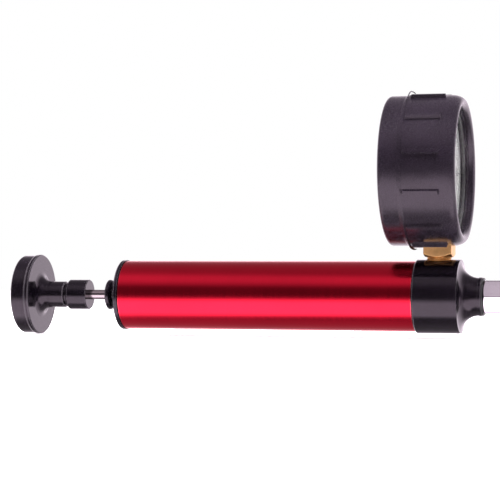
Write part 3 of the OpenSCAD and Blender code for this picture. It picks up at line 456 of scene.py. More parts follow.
def eased(*stretches, closed=False, steps=4, rim=0.12):
    """Profile with rounded corners, from rows (along, radius, cut).

    A corner becomes the quadratic curve between the two points at the distance cut along its
    sides. A long side gets a point just inside each end, which keeps its shading flat. Returns
    along, radius and edge, which is 1 on the rounded corners and 0 elsewhere.
    """
    rows = np.vstack([np.atleast_2d(stretch) for stretch in stretches]).astype(float)
    points, cut = rows[:, :2], rows[:, 2].copy()
    before, after = np.roll(points, 1, 0) - points, np.roll(points, -1, 0) - points
    back, ahead = (np.maximum(np.linalg.norm(side, axis=1), 1e-9) for side in (before, after))
    cut = np.minimum(cut, 0.45 * np.minimum(back, ahead))
    if not closed:
        cut[[0, -1]] = 0
    t = np.linspace(0, 1, steps + 1)[None, :, None]
    first = (points + before * (cut / back)[:, None])[:, None]
    last = (points + after * (cut / ahead)[:, None])[:, None]
    curve = ((1 - t) ** 2 * first + 2 * t * (1 - t) * points[:, None] + t**2 * last).reshape(-1, 2)
    edge = np.repeat((cut > 0).astype(float), steps + 1)
    keep = np.linalg.norm(curve - np.roll(curve, 1, 0), axis=1) > 0.002
    if not closed:
        keep[0] = True
    curve, edge = curve[keep], edge[keep]
    side = np.roll(curve, -1, 0) - curve
    reach = np.maximum(np.linalg.norm(side, axis=1), 1e-9)
    wide = reach > 5 * rim
    if not closed:
        wide[-1] = False
    unit = side / reach[:, None] * rim
    stack = np.stack([curve, curve + unit, np.roll(curve, -1, 0) - unit], 1).reshape(-1, 2)
    flag = np.stack([edge, np.zeros_like(edge), np.zeros_like(edge)], 1).ravel()
    used = np.stack([np.ones_like(wide), wide, wide], 1).ravel()
    return stack[used, 0], stack[used, 1], flag[used]


def turned(along, radius, steps=144, centre=PUMP, axis="x", angles=None):
    """Grid of a profile carried round an axis through the centre.

    A point lies at its own distance along the axis, and at its radius times the sine and cosine
    of the angle across it. The radius is one number for a row, or one for each angle of a row.
    """
    turn = np.linspace(0, 2 * math.pi, steps, endpoint=False) if angles is None else angles
    radius = np.asarray(radius) if np.ndim(radius) == 2 else np.asarray(radius)[:, None]
    one, two = radius * np.sin(turn), radius * np.cos(turn)
    far = np.broadcast_to(np.asarray(along)[:, None], one.shape)
    order = (far, one, two) if axis == "x" else (one, two, far)
    return np.stack(order, -1) + np.array(centre)


def flats(count, size, radius, turn, offset=0.0, power=60):
    """Radius of a bar with flats that is also turned to a profile.

    Each flat stands at its distance over the cosine of the angle from it. The radius is the power
    mean of all those limits and the profile's, which follows the lowest and rounds its corners.
    """
    normals = offset + np.arange(count) * 2 * math.pi / count
    facing = np.maximum(np.cos(turn[None, :] - normals[:, None]), 0) / (size / 2)
    inverse = (facing**power).sum(0)[None, :] + (1 / np.maximum(radius[:, None], 1e-4)) ** power
    return inverse ** (-1 / power)


def around_x(grid, degrees):
    """Grid turned about the pump's axis."""
    c, s = math.cos(math.radians(degrees)), math.sin(math.radians(degrees))
    return grid @ np.array([[1, 0, 0], [0, c, s], [0, -s, c]])


def mesh_of(name, *grids, smooth=32):
    """Mesh over grids whose columns join up, each as (points in mm, edge of each row, rows joined)."""
    points, faces, edges, count = [], [], [], 0
    for grid, edge, closed in grids:
        rows, columns = grid.shape[:2]
        index = count + np.arange(rows * columns).reshape(rows, columns)
        index = np.vstack([index, index[:1]]) if closed else index
        low, high = index[:-1], index[1:]
        faces.append(np.stack([low, np.roll(low, -1, 1), np.roll(high, -1, 1), high], -1).reshape(-1, 4))
        points.append(grid.reshape(-1, 3))
        edges.append(np.repeat(np.zeros(rows) if edge is None else edge, columns))
        count += rows * columns
    return solid(name, np.vstack(points), np.vstack(faces), np.concatenate(edges), smooth)


def solid(name, points, faces, edges=None, smooth=32):
    """Mesh from points in mm and four-sided faces, with doubles merged and faces turned outward."""
    mesh = bpy.data.meshes.new(name)
    mesh.vertices.add(len(points))
    mesh.vertices.foreach_set("co", (np.asarray(points) * MM).ravel().astype(np.float32))
    mesh.loops.add(faces.size)
    mesh.loops.foreach_set("vertex_index", faces.ravel().astype(np.int32))
    mesh.polygons.add(len(faces))
    mesh.polygons.foreach_set("loop_start", np.arange(0, faces.size, 4, dtype=np.int32))
    mesh.update(calc_edges=True)
    layer = mesh.attributes.new("edge", "FLOAT", "POINT")
    layer.data.foreach_set("value", (np.zeros(len(points)) if edges is None else edges).astype(np.float32))
    tidy = bmesh.new()
    tidy.from_mesh(mesh)
    bmesh.ops.remove_doubles(tidy, verts=tidy.verts, dist=1e-6)
    bmesh.ops.dissolve_degenerate(tidy, edges=tidy.edges, dist=1e-7)
    bmesh.ops.recalc_face_normals(tidy, faces=tidy.faces)
    tidy.to_mesh(mesh)
    tidy.free()
    mesh.shade_smooth()
    mesh.set_sharp_from_angle(angle=math.radians(smooth))
    return mesh


def cut(name, mesh, *tools, smooth=32):
    """Mesh with the shapes of other meshes taken out of it."""
    piece = bpy.data.objects.new(name, mesh)
    bpy.context.scene.collection.objects.link(piece)
    shapes = []
    for tool in tools:
        shape = bpy.data.objects.new("tool", tool)
        bpy.context.scene.collection.objects.link(shape)
        step = piece.modifiers.new("cut", "BOOLEAN")
        step.operation, step.solver, step.object = "DIFFERENCE", "EXACT", shape
        shapes.append(shape)
    bpy.context.view_layer.update()
    graph = bpy.context.evaluated_depsgraph_get()
    result = bpy.data.meshes.new_from_object(piece.evaluated_get(graph), depsgraph=graph)
    for shape in [*shapes, piece]:
        bpy.data.objects.remove(shape)
    result.name = name
    result.materials.clear()
    result.set_sharp_from_angle(angle=math.radians(smooth))
    return result


def place(name, mesh, *nodes, slot=None, centre=PUMP, instead=True):
    """Puts a piece on the body of its nodes, in their finish, and shows it instead of them."""
    piece = bpy.data.objects.new(name, mesh)
    bpy.context.scene.collection.objects.link(piece)
    slot = slot or SLOT[nodes[0]]
    mesh.materials.append(finish_for(slot, centre))
    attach(piece, BODY[nodes[0]])
    if instead:
        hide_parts(*nodes)
    return piece


def block(low, high):
    """Plain block between two corners, used only as a tool that is taken out of a piece."""
    x, y, z = (np.array([low[i], high[i]]) for i in range(3))
    corners = np.array([(a, b, c) for a in x for b in y for c in z])
    faces = np.array([(0, 1, 3, 2), (4, 6, 7, 5), (0, 4, 5, 1), (2, 3, 7, 6), (0, 2, 6, 4), (1, 5, 7, 3)])
    return solid("tool", corners, faces)


def strand(path, thick, steps=10):
    """Grid of a tapering string: at each point of the path a circle stands across its direction.

    The two directions across are the cross products of the path's direction with +Y and with
    the first of them, and the circle's radius is the thickness there.
    """
    path, thick = np.asarray(path, float), np.asarray(thick, float)
    way = np.gradient(path, axis=0)
    way /= np.linalg.norm(way, axis=1)[:, None]
    one = np.cross(way, [0.0, 1.0, 0.0])
    one /= np.linalg.norm(one, axis=1)[:, None]
    two = np.cross(way, one)
    turn = np.linspace(0, 2 * math.pi, steps, endpoint=False)[None, :, None]
    ring = np.cos(turn) * one[:, None] + np.sin(turn) * two[:, None]
    return path[:, None] + ring * thick[:, None, None]


def curve_through(points, steps=8):
    """Points on a smooth curve through the given ones.

    Between two points it is the cubic whose slope at each is half the step between its neighbours.
    """
    points = np.asarray(points, float)
    slope = np.gradient(points, axis=0)
    t = np.linspace(0, 1, steps, endpoint=False)[None, :, None]
    p, q, m, n = points[:-1, None], points[1:, None], slope[:-1, None], slope[1:, None]
    path = (
        (2 * t**3 - 3 * t**2 + 1) * p + (t**3 - 2 * t**2 + t) * m
        + (3 * t**2 - 2 * t**3) * q + (t**3 - t**2) * n
    )
    return np.vstack([path.reshape(-1, points.shape[1]), points[-1:]])


def smoothstep(value, low, high):
    """0 below low, 1 above high, and an S between them."""
    t = np.clip((value - low) / (high - low), 0, 1)
    return t * t * (3 - 2 * t)


# ---------------------------------------------------------------- pieces


class PumpPiece:
    """What the operators share."""

    bl_options = {"REGISTER", "UNDO"}


class PUMP_OT_studio(PumpPiece, bpy.types.Operator):
    """Floor, light and camera at the photograph's angle"""

    bl_idname = "pump.studio"
    bl_label = "Studio"

    def execute(self, context):
        scene, studio = context.scene, context.scene.pump_studio
        scene.view_settings.view_transform = "Standard"
        self.camera(scene, studio)
        self.floor(scene, studio)
        self.light(scene, studio)
        self.world(scene)
        return {"FINISHED"}

    def camera(self, scene, studio):
        """Camera that looks along +Y, turned toward the knob, tilted, and turned in the picture."""
        camera = bpy.data.objects.new("camera", bpy.data.cameras.new("camera"))
        scene.collection.objects.link(camera)
        camera.location = (studio.aside, -studio.distance, studio.height)
        camera.matrix_world = (
            Matrix.Translation(camera.location)
            @ Matrix.Rotation(studio.yaw, 4, "Z")
            @ Matrix.Rotation(math.pi / 2 + studio.pitch, 4, "X")
            @ Matrix.Rotation(studio.roll, 4, "Z")
        )
        camera.data.sensor_width = 36
        camera.data.lens = studio.focal
        camera.data.clip_start, camera.data.clip_end = 0.01, 50
        scene.camera = camera

    def floor(self, scene, studio):
        """Plain pale floor under the lowest point of the pump."""
        low = CAD_BOX[0][2] - 0.0001
        half = 4.0
        mesh = bpy.data.meshes.new("floor")
        corners = [(-half, -half, low), (half, -half, low), (half, half, low), (-half, half, low)]
        mesh.from_pydata(corners, [], [(0, 1, 2, 3)])
        floor = bpy.data.objects.new("floor", mesh)
        scene.collection.objects.link(floor)
        finish = Finish("floor", studio.floor, 0.0, 0.7)
        cloud = finish.noise(finish.stretched((0.004, 0.004, 0.004)), 1.0, 2.0)
        finish.join("Base Color", finish.blend(cloud, tint(studio.floor, 0.99), studio.floor))
        centre = finish.add("ShaderNodeMapping", {"Vector": finish.where, "Location": (0.14, 0, -low)})
        far = finish.add("ShaderNodeVectorMath", {0: centre.outputs[0]}, operation="LENGTH").outputs["Value"]
        glow = finish.add("ShaderNodeMapRange", {0: far, 1: 0.16, 2: 0.6, 3: 0.7, 4: 1.0})
        finish.join("Emission Color", (1, 1, 1, 1))
        finish.join("Emission Strength", glow.outputs[0])
        mesh.materials.append(finish.material)
        floor.visible_glossy = False

    def light(self, scene, studio):
        """Soft boxes beside the pump, where its long round faces don't mirror them."""
        for name, spot, size, power in (
            ("right", (1.05, -0.25, 0.50), (1.7, 1.4), studio.side * 0.6),
            ("left", (-1.40, -0.40, 0.75), (1.7, 1.7), studio.side * 0.5),
            ("top", (-0.10, -0.20, 0.95), (0.7, 0.5), studio.side * 1.8),
        ):
            lamp = bpy.data.lights.new(name, "AREA")
            lamp.shape = "RECTANGLE"
            lamp.size, lamp.size_y = size
            lamp.energy = power
            box = bpy.data.objects.new(name, lamp)
            scene.collection.objects.link(box)
            box.visible_glossy = False
            away = Vector(spot) - Vector((-0.14, 0, 0))
            box.matrix_world = Matrix.Translation(spot) @ away.to_track_quat("Z", "Y").to_matrix().to_4x4()

    def world(self, scene):
        """White to the camera.

        What is lit and mirrored goes by height: a table in front, a strip above, white behind.
        """
        world = bpy.data.worlds.new("studio")
        scene.world = world
        world.use_nodes = True
        nodes, links = world.node_tree.nodes, world.node_tree.links
        nodes.clear()
        way, parts = nodes.new("ShaderNodeTexCoord"), nodes.new("ShaderNodeSeparateXYZ")
        links.new(way.outputs["Generated"], parts.inputs[0])

        def ramp(source, *stops):
            """Level by a direction's share along an axis, from (share, level) stops, a little violet."""
            place = nodes.new("ShaderNodeMapRange")
            place.inputs[1].default_value = -1
            links.new(source, place.inputs[0])
            levels = nodes.new("ShaderNodeValToRGB")
            line = levels.color_ramp.elements
            while len(line) < len(stops):
                line.new(0.5)
            for element, (share_of, level) in zip(line, stops):
                element.position = (share_of + 1) / 2
                element.color = (level / PEAK, 0.87 * level / PEAK, 0.98 * level / PEAK, 1)
            links.new(place.outputs[0], levels.inputs[0])
            return levels.outputs[0]

        front = ramp(
            parts.outputs[2], (-1, 0.24), (-0.94, 0.26), (-0.86, 2.6), (-0.36, 2.6), (-0.12, 0.16),
            (0, 0.10), (0.44, 0.11), (0.72, 0.6), (0.86, 0.6), (0.96, 0.26), (1, 0.28),
        )
        back = ramp(
            parts.outputs[2], (-1, 0.34), (-0.6, 0.4), (-0.3, 1.7), (0.22, 1.7), (0.5, 0.4),
            (0.7, 0.28), (1, 0.28),
        )
        side = nodes.new("ShaderNodeMapRange")
        side.interpolation_type = "SMOOTHSTEP"
        side.inputs[1].default_value, side.inputs[2].default_value = -0.12, 0.12
        links.new(parts.outputs[1], side.inputs[0])
        both = nodes.new("ShaderNodeMix")
        both.data_type = "RGBA"
        links.new(side.outputs[0], both.inputs[0])
        links.new(front, both.inputs[6])
        links.new(back, both.inputs[7])
        dim, white = nodes.new("ShaderNodeBackground"), nodes.new("ShaderNodeBackground")
        dim.inputs[1].default_value = PEAK
        white.inputs[0].default_value = (1, 1, 1, 1)
        links.new(both.outputs[2], dim.inputs[0])
        seen, mix = nodes.new("ShaderNodeLightPath"), nodes.new("ShaderNodeMixShader")
        out = nodes.new("ShaderNodeOutputWorld")
        links.new(seen.outputs["Is Camera Ray"], mix.inputs[0])
        links.new(dim.outputs[0], mix.inputs[1])
        links.new(white.outputs[0], mix.inputs[2])
        links.new(mix.outputs[0], out.inputs[0])


class PUMP_OT_solids(PumpPiece, bpy.types.Operator):
    """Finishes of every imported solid"""

    bl_idname = "pump.solids"
    bl_label = "Solids"

    def execute(self, context):
        about_gauge = {"gauge_case", "lens_gasket", "lens", "bezel", "rubber_boot", "dial", "pointer"}
        for node in frame["nodes"]:
            paint(node, GAUGE if node in about_gauge else PUMP)
        frame["nodes"]["lens"].visible_shadow = False
        return {"FINISHED"}


class PUMP_OT_barrel(PumpPiece, bpy.types.Operator):
    """Barrel, end cap with its air holes, and rod guide"""

    bl_idname = "pump.barrel"
    bl_label = "Barrel"

    def execute(self, context):
        sizes = context.scene.pump_sizes
        ease, wall = sizes.ease / MM, sizes.wall / MM
        low, high = span("barrel")
        back, front, r = low[0], high[0], high[2]
        bore, c = r - wall, sizes.chamfer / MM
        along, radius, edge = eased(
            (back, bore, ease), (back, r - c, ease), (back + c, r, ease),
            (front - c, r, ease), (front, r - c, ease), (front, bore, ease), closed=True,
        )
        place("barrel_tube", mesh_of("barrel_tube", (turned(along, radius, 192), edge, True)), "barrel")

        low, high = span("end_cap")
        back, inner, flange_r = low[0], high[0], high[2]
        front, spigot, hole = span("barrel")[0][0], bore - 0.05, 4.5
        along, radius, edge = eased(
            (back, hole, ease), (back, flange_r - 0.6, 0.15), (back + 0.6, flange_r, 0.15),
            (front, flange_r, ease), (front, spigot, 0), (inner, spigot, 0.3), (inner, hole, ease),
            closed=True,
        )
        mesh = mesh_of("end_plug", (turned(along, radius, 192), edge, True))
        tools = []
        for turn in np.radians([0, 120, 240]):
            centre = (0, (hole + spigot) / 2 * math.cos(turn), (hole + spigot) / 2 * math.sin(turn))
            drill = turned([back - 1, back - 1, back + 0.15, back + 0.5, inner + 1, inner + 1],
                           [0, 1.7, 1.6, 1.25, 1.25, 0], 40, centre)
            tools.append(mesh_of("tool", (drill, None, False)))
        place("end_plug", cut("end_plug", mesh, *tools), "end_cap")

        low, high = span("rod_guide")
        back, inner, r = low[0], high[0], high[2]
        along, radius, edge = eased(
            (back, 2.53, 0.25), (back, r - 0.4, 0.12), (back + 0.4, r, 0.12), (back + 0.8, r, 0),
            arc((back + 0.8, r - 2.2), (2.2, 2.2), 90, 0),
            (back + 3, 4.45, 0.3), (inner, 4.45, 0), (inner, 2.53, 0), closed=True,
        )
        place("guide_bush", mesh_of("guide_bush", (turned(along, radius), edge, True)), "rod_guide")
        return {"FINISHED"}


class PUMP_OT_plunger(PumpPiece, bpy.types.Operator):
    """Pull knob with its cove and lip, collar and rod"""

    bl_idname = "pump.plunger"
    bl_label = "Plunger"

    def execute(self, context):
        ease = context.scene.pump_sizes.ease / MM
        low, high = span("pull_knob")
        back, front, lip = low[0], high[0], high[2]
        face, r, neck, cove = back + 10.2, lip - 0.45, 6.75, 5.4
        hole, hole_deep = 2.55, 16.05
        along, radius, edge = eased(
            (back, 0, 0), (back, r - 2, 0), arc((back + 2, r - 2), (2, 2), 180, 90, 14),
            (face - 2.575, r, 0.15), (face - 1.9, lip, 0.15), (face - 0.5, lip, 0.14),
            (face, lip - 0.5, 0.14), arc((face + cove, neck + cove), (cove, cove), 180, 270, 20),
            (front - 0.5, neck, 0.12), (front, neck - 0.5, 0.12),
            (front, hole, ease), (front - hole_deep, hole, 0), (front - hole_deep, 0, 0),
        )
        place("knob", mesh_of("knob", (turned(along, radius, 192), edge, False)), "pull_knob")

        low, high = span("rod_collar")
        back, front, r = low[0], high[0], high[2]
        along, radius, edge = eased(
            (back, hole, ease), (back, 5.5, 0), (back + 1.6, 5.5, 0.1), (back + 1.6, r - 0.8, 0.12),
            (back + 2.4, r, 0.12), (front - 0.3, r, 0.1), (front, r - 0.3, 0.1), (front, hole, ease),
            closed=True,
        )
        place("collar", mesh_of("collar", (turned(along, radius), edge, True)), "rod_collar")

        low, high = span("rod")
        back, front = low[0], high[0]
        shoulder, r, shoulder_r = span("piston_disc")[0][0] - 0.05, 2.5, 4.5
        along, radius, edge = eased(
            (back, 0, 0), (back, r - 0.3, ease), (back + 0.3, r, ease), (shoulder - 2.5, r, 0.2),
            (shoulder - 2.5, shoulder_r, 0.15), (shoulder, shoulder_r, 0.15), (shoulder, r, 0),
            (front - 0.3, r, ease), (front, r - 0.3, ease), (front, 0, 0),
        )
        place("steel_rod", mesh_of("steel_rod", (turned(along, radius, 96), edge, False)), "rod")
        return {"FINISHED"}


class PUMP_OT_head(PumpPiece, bpy.types.Operator):
    """Head with its cove, lip and stem hole"""

    bl_idname = "pump.head"
    bl_label = "Head"

    def execute(self, context):
        ease = context.scene.pump_sizes.ease / MM
        low, high = span("head")
        inner, mouth, r = low[0], high[0], high[2]
        back, front = span("barrel")[1][0], mouth - 1.7
        seal = (inner + back) / 2
        spigot, seat, lip, socket, passage, chamber = 15.45, 4.55, 9.65, 6.55, 2, 3
        along, radius, edge = eased(
            (inner, seat, 0.1), (inner, spigot, 0.3), (seal - 1.2, spigot, 0), (seal - 1.2, spigot - 1.5, 0),
            (seal + 1.2, spigot - 1.5, 0), (seal + 1.2, spigot, 0), (back, spigot, 0), (back, r - 0.4, 0.12),
            (back + 0.4, r, 0.12), (front - 9, r, 0.22), arc((front, r), (9, 9), 181, 270, 24),
            (front, lip, 0.1), (mouth - 0.3, lip, 0.1), (mouth, lip - 0.3, 0.1), (mouth, socket, ease),
            (mouth - 12.8, socket, 0), (mouth - 12.8, passage, 0), (inner + 16, passage, 0),
            (inner + 16, chamber, 0), (inner + 5, chamber, 0), (inner + 5, seat, 0), closed=True,
        )
        mesh = mesh_of("head_block", (turned(along, radius, 192), edge, True))
        drill = turned([1, 1, 8.1, 8.1, r - 0.35, r + 2, r + 2], [0, 2, 2, 6.25, 6.25, 6.6, 0], 96,
                       (GAUGE[0], 0, 0), "z")
        place("head_block", cut("head_block", mesh, mesh_of("tool", (drill, None, False))), "head")
        return {"FINISHED"}


class PUMP_OT_stem(PumpPiece, bpy.types.Operator):
    """Brass stem with its wrench square and thread, and the block that it carries in the case"""

    bl_idname = "pump.stem"
    bl_label = "Stem"

    def execute(self, context):
        sizes = context.scene.pump_sizes
        foot = span("gauge_socket")[0][2]
        square, across = sizes.square_foot / MM, 14.0
        top, corner = square + 8.65, across / math.sqrt(2)
        thread_foot, thread, neck, neck_top = 16.0, 6.2, 3.5, 31.6
        along, radius, edge = eased(
            (foot, 0, 0), (foot, thread - 0.6, 0.1), (foot + 0.6, thread, 0.1),
            line((thread_foot, thread), (square - 0.05, thread), 48),
            (square, 7, 0), line((square + 0.02, 7.05), (square + 1.45, corner), 14),
            line((square + 1.6, corner + 0.2), (top - 0.4, corner + 0.2), 6), (top, corner + 0.2, 0),
            (top, neck, 0.2), (neck_top, neck, 0), (neck_top, 0, 0),
        )
        turn = np.linspace(0, 2 * math.pi, 240, endpoint=False)
        limit = flats(4, across, radius, turn, 0.0, sizes.corner_power)
        wave = np.abs(((along[:, None] / sizes.pitch * MM + turn / (2 * math.pi)) % 1) * 2 - 1)
        inside = smoothstep(along, thread_foot - 0.1, thread_foot + 0.4)
        inside *= (1 - smoothstep(along, square - 0.5, square - 0.2)) * (radius < thread + 0.1)
        limit = limit - 0.5 * smoothstep(wave, 0.1, 0.9) * inside[:, None]
        shape = turned(along, limit, 240, (GAUGE[0], 0, 0), "z", turn)
        place("stem", mesh_of("stem", (shape, edge, False), smooth=40), "gauge_socket")
        self.block()
        return {"FINISHED"}

    def block(self):
        """Block and bracket in the case.

        Each is a ball pushed out to a box by a power mean of its three limits, from the corners
        about the gauge's centre.
        """
        parts, power = [], 24
        u = np.linspace(0, 2 * math.pi, 72, endpoint=False)[None, :]
        v = np.linspace(-math.pi / 2, math.pi / 2, 49)[:, None]
        way = np.stack([np.cos(v) * np.cos(u), np.cos(v) * np.sin(u), np.sin(v) + 0 * u], -1)
        for low, high in (((-20.5, -6, -31.8), (2, 6, -21.9)), ((-15, -6, -31.8), (-12, 6, -7.2))):
            low, high = np.array(low), np.array(high)
            limits = (np.abs(way) / ((high - low) / 2)) ** power
            reach = limits.sum(-1, keepdims=True) ** (-1 / power)
            parts.append(((low + high) / 2 + way * reach + np.array(GAUGE), None, False))
        place("stem_block", mesh_of("stem_block", *parts), "gauge_socket")


class PUMP_OT_boot(PumpPiece, bpy.types.Operator):
    """Rubber boot with ribs, moulding seam and the loose flash on it"""

    bl_idname = "pump.boot"
    bl_label = "Boot"

    def execute(self, context):
        sizes = context.scene.pump_sizes
        r, seam = 37.3, -13.6
        start, end = seam + 1.3, seam + 18.8
        back, round_back, bend = -24.7, -22.7, 6.5
        mouth, lip, case, bezel = 27, 31, 33.6, 34.35
        marks = ((round_back, 6), (seam - 2.4, 9), (seam - 0.5, 13), (seam + 0.5, 14), (start + 0.6, 8),
                 (end - 0.6, 8), (end + 0.5, 2), (bend, 1))
        wall = np.concatenate([
            np.linspace(here, there, count, endpoint=False)
            for (here, count), (there, _) in zip(marks, marks[1:])
        ] + [[bend]])
        along, radius, _ = eased(
            (back, mouth, 0.6), arc((round_back, r - 2), (2, 2), 180, 90, 8)[:-1],
            np.column_stack([wall, np.full(len(wall), r), np.zeros(len(wall))]),
            arc((bend, r - 3.2), (6.4, 3.2), 90, 0, 20)[1:], arc((9.9, r - 3.2), (3, 3.1), 0, -90, 12)[1:],
            (8.45, lip, 0), (8.45, bezel, 0), (3.5, bezel, 0), (3.5, case, 0),
            (-21.55, case, 0), (-21.55, mouth, 0.4), closed=True,
        )
        step = 2 * math.pi / sizes.ribs
        spread = np.radians(np.concatenate([
            np.linspace(-15, -3.4, 8, endpoint=False), np.linspace(-3.4, 3.4, 28, endpoint=False),
            np.linspace(3.4, 15, 8, endpoint=False),
        ]))
        middle = -(sizes.rib_turn + np.arange(sizes.ribs) * step)[::-1]
        rib_high, rib_half, rib_foot = 1.7, 0.75, 1.3
        turn = (middle[:, None] + spread[None, :]).ravel()
        off = np.abs(np.tile(spread, sizes.ribs)) * r
        outer = (radius > r - 0.02)[:, None]
        rib = smoothstep(along, start - 0.3, start + 0.4) * (1 - smoothstep(along, end - 0.5, end + 0.4))
        height = rib_high * rib[:, None] * (1 - smoothstep(off, rib_half, rib_foot))[None, :]
        ragged = 0.62 + 0.2 * np.sin(7 * turn + 1) * np.sin(23 * turn) + 0.18 * np.sin(61 * turn + 2)
        ridge = 0.36 * np.exp(-(((along - seam + 0.2) / 0.95) ** 4))[:, None]
        groove = 0.3 * (
            np.exp(-(((along - seam + 1.6) / 0.35) ** 2)) + np.exp(-(((along - seam - 1.1) / 0.25) ** 2))
        )[:, None]
        flash = 0.26 * np.exp(-(((along - seam) / 0.2) ** 2))[:, None] * ragged[None, :]
        radius = radius[:, None] + outer * np.maximum(height, ridge + flash - groove)
        shape = turned(along, radius, 0, GAUGE, "x", turn)
        notch = block((GAUGE[0] - 7.3, -7.3, 20), (GAUGE[0] + 7.3, 7.3, 30.9))
        mesh = cut("boot", mesh_of("boot", (shape, None, True), smooth=50), notch, smooth=50)
        place("boot", mesh, "rubber_boot", centre=GAUGE)
        self.loose_flash(r, seam)
        return {"FINISHED"}

    def loose_flash(self, r, seam):
        """Thin strand of flash that has peeled off the seam at the top, and a torn nub below."""

        def on_seam(degrees, lift, shift):
            """Points at clock angles from the top, lifted off the boot and shifted along the pump."""
            turn = np.radians(degrees)
            return np.column_stack([
                GAUGE[0] + seam + np.asarray(shift, float), -(r + np.asarray(lift)) * np.sin(turn),
                GAUGE[2] + (r + np.asarray(lift)) * np.cos(turn),
            ])
        path = curve_through(on_seam(
            [34, 28, 21, 15, 9, 4, 2, 4], [0.2, 0.5, 1.1, 1.8, 2.2, 1.9, 1.3, 0.9],
            [0, 0, 0.1, 0.2, 0.3, 0.8, 1.5, 2.0],
        ))
        thick = np.interp(np.linspace(0, 1, len(path)), [0, 0.1, 0.5, 0.85, 1], [0.02, 0.26, 0.3, 0.26, 0.02])
        top = (strand(path, thick), None, False)
        path = curve_through(on_seam(
            [158, 165, 171, 175, 177], [0.1, 0.5, 1.2, 1.9, 1.6], [0, 0.1, 0.5, 1.6, 3.0],
        ))
        thick = np.interp(np.linspace(0, 1, len(path)), [0, 0.15, 0.55, 0.72, 1], [0.02, 0.4, 0.75, 0.5, 0.02])
        nub = (strand(path, thick), None, False)
        place("boot_flash", mesh_of("boot_flash", top, nub), "rubber_boot", instead=False, centre=GAUGE)


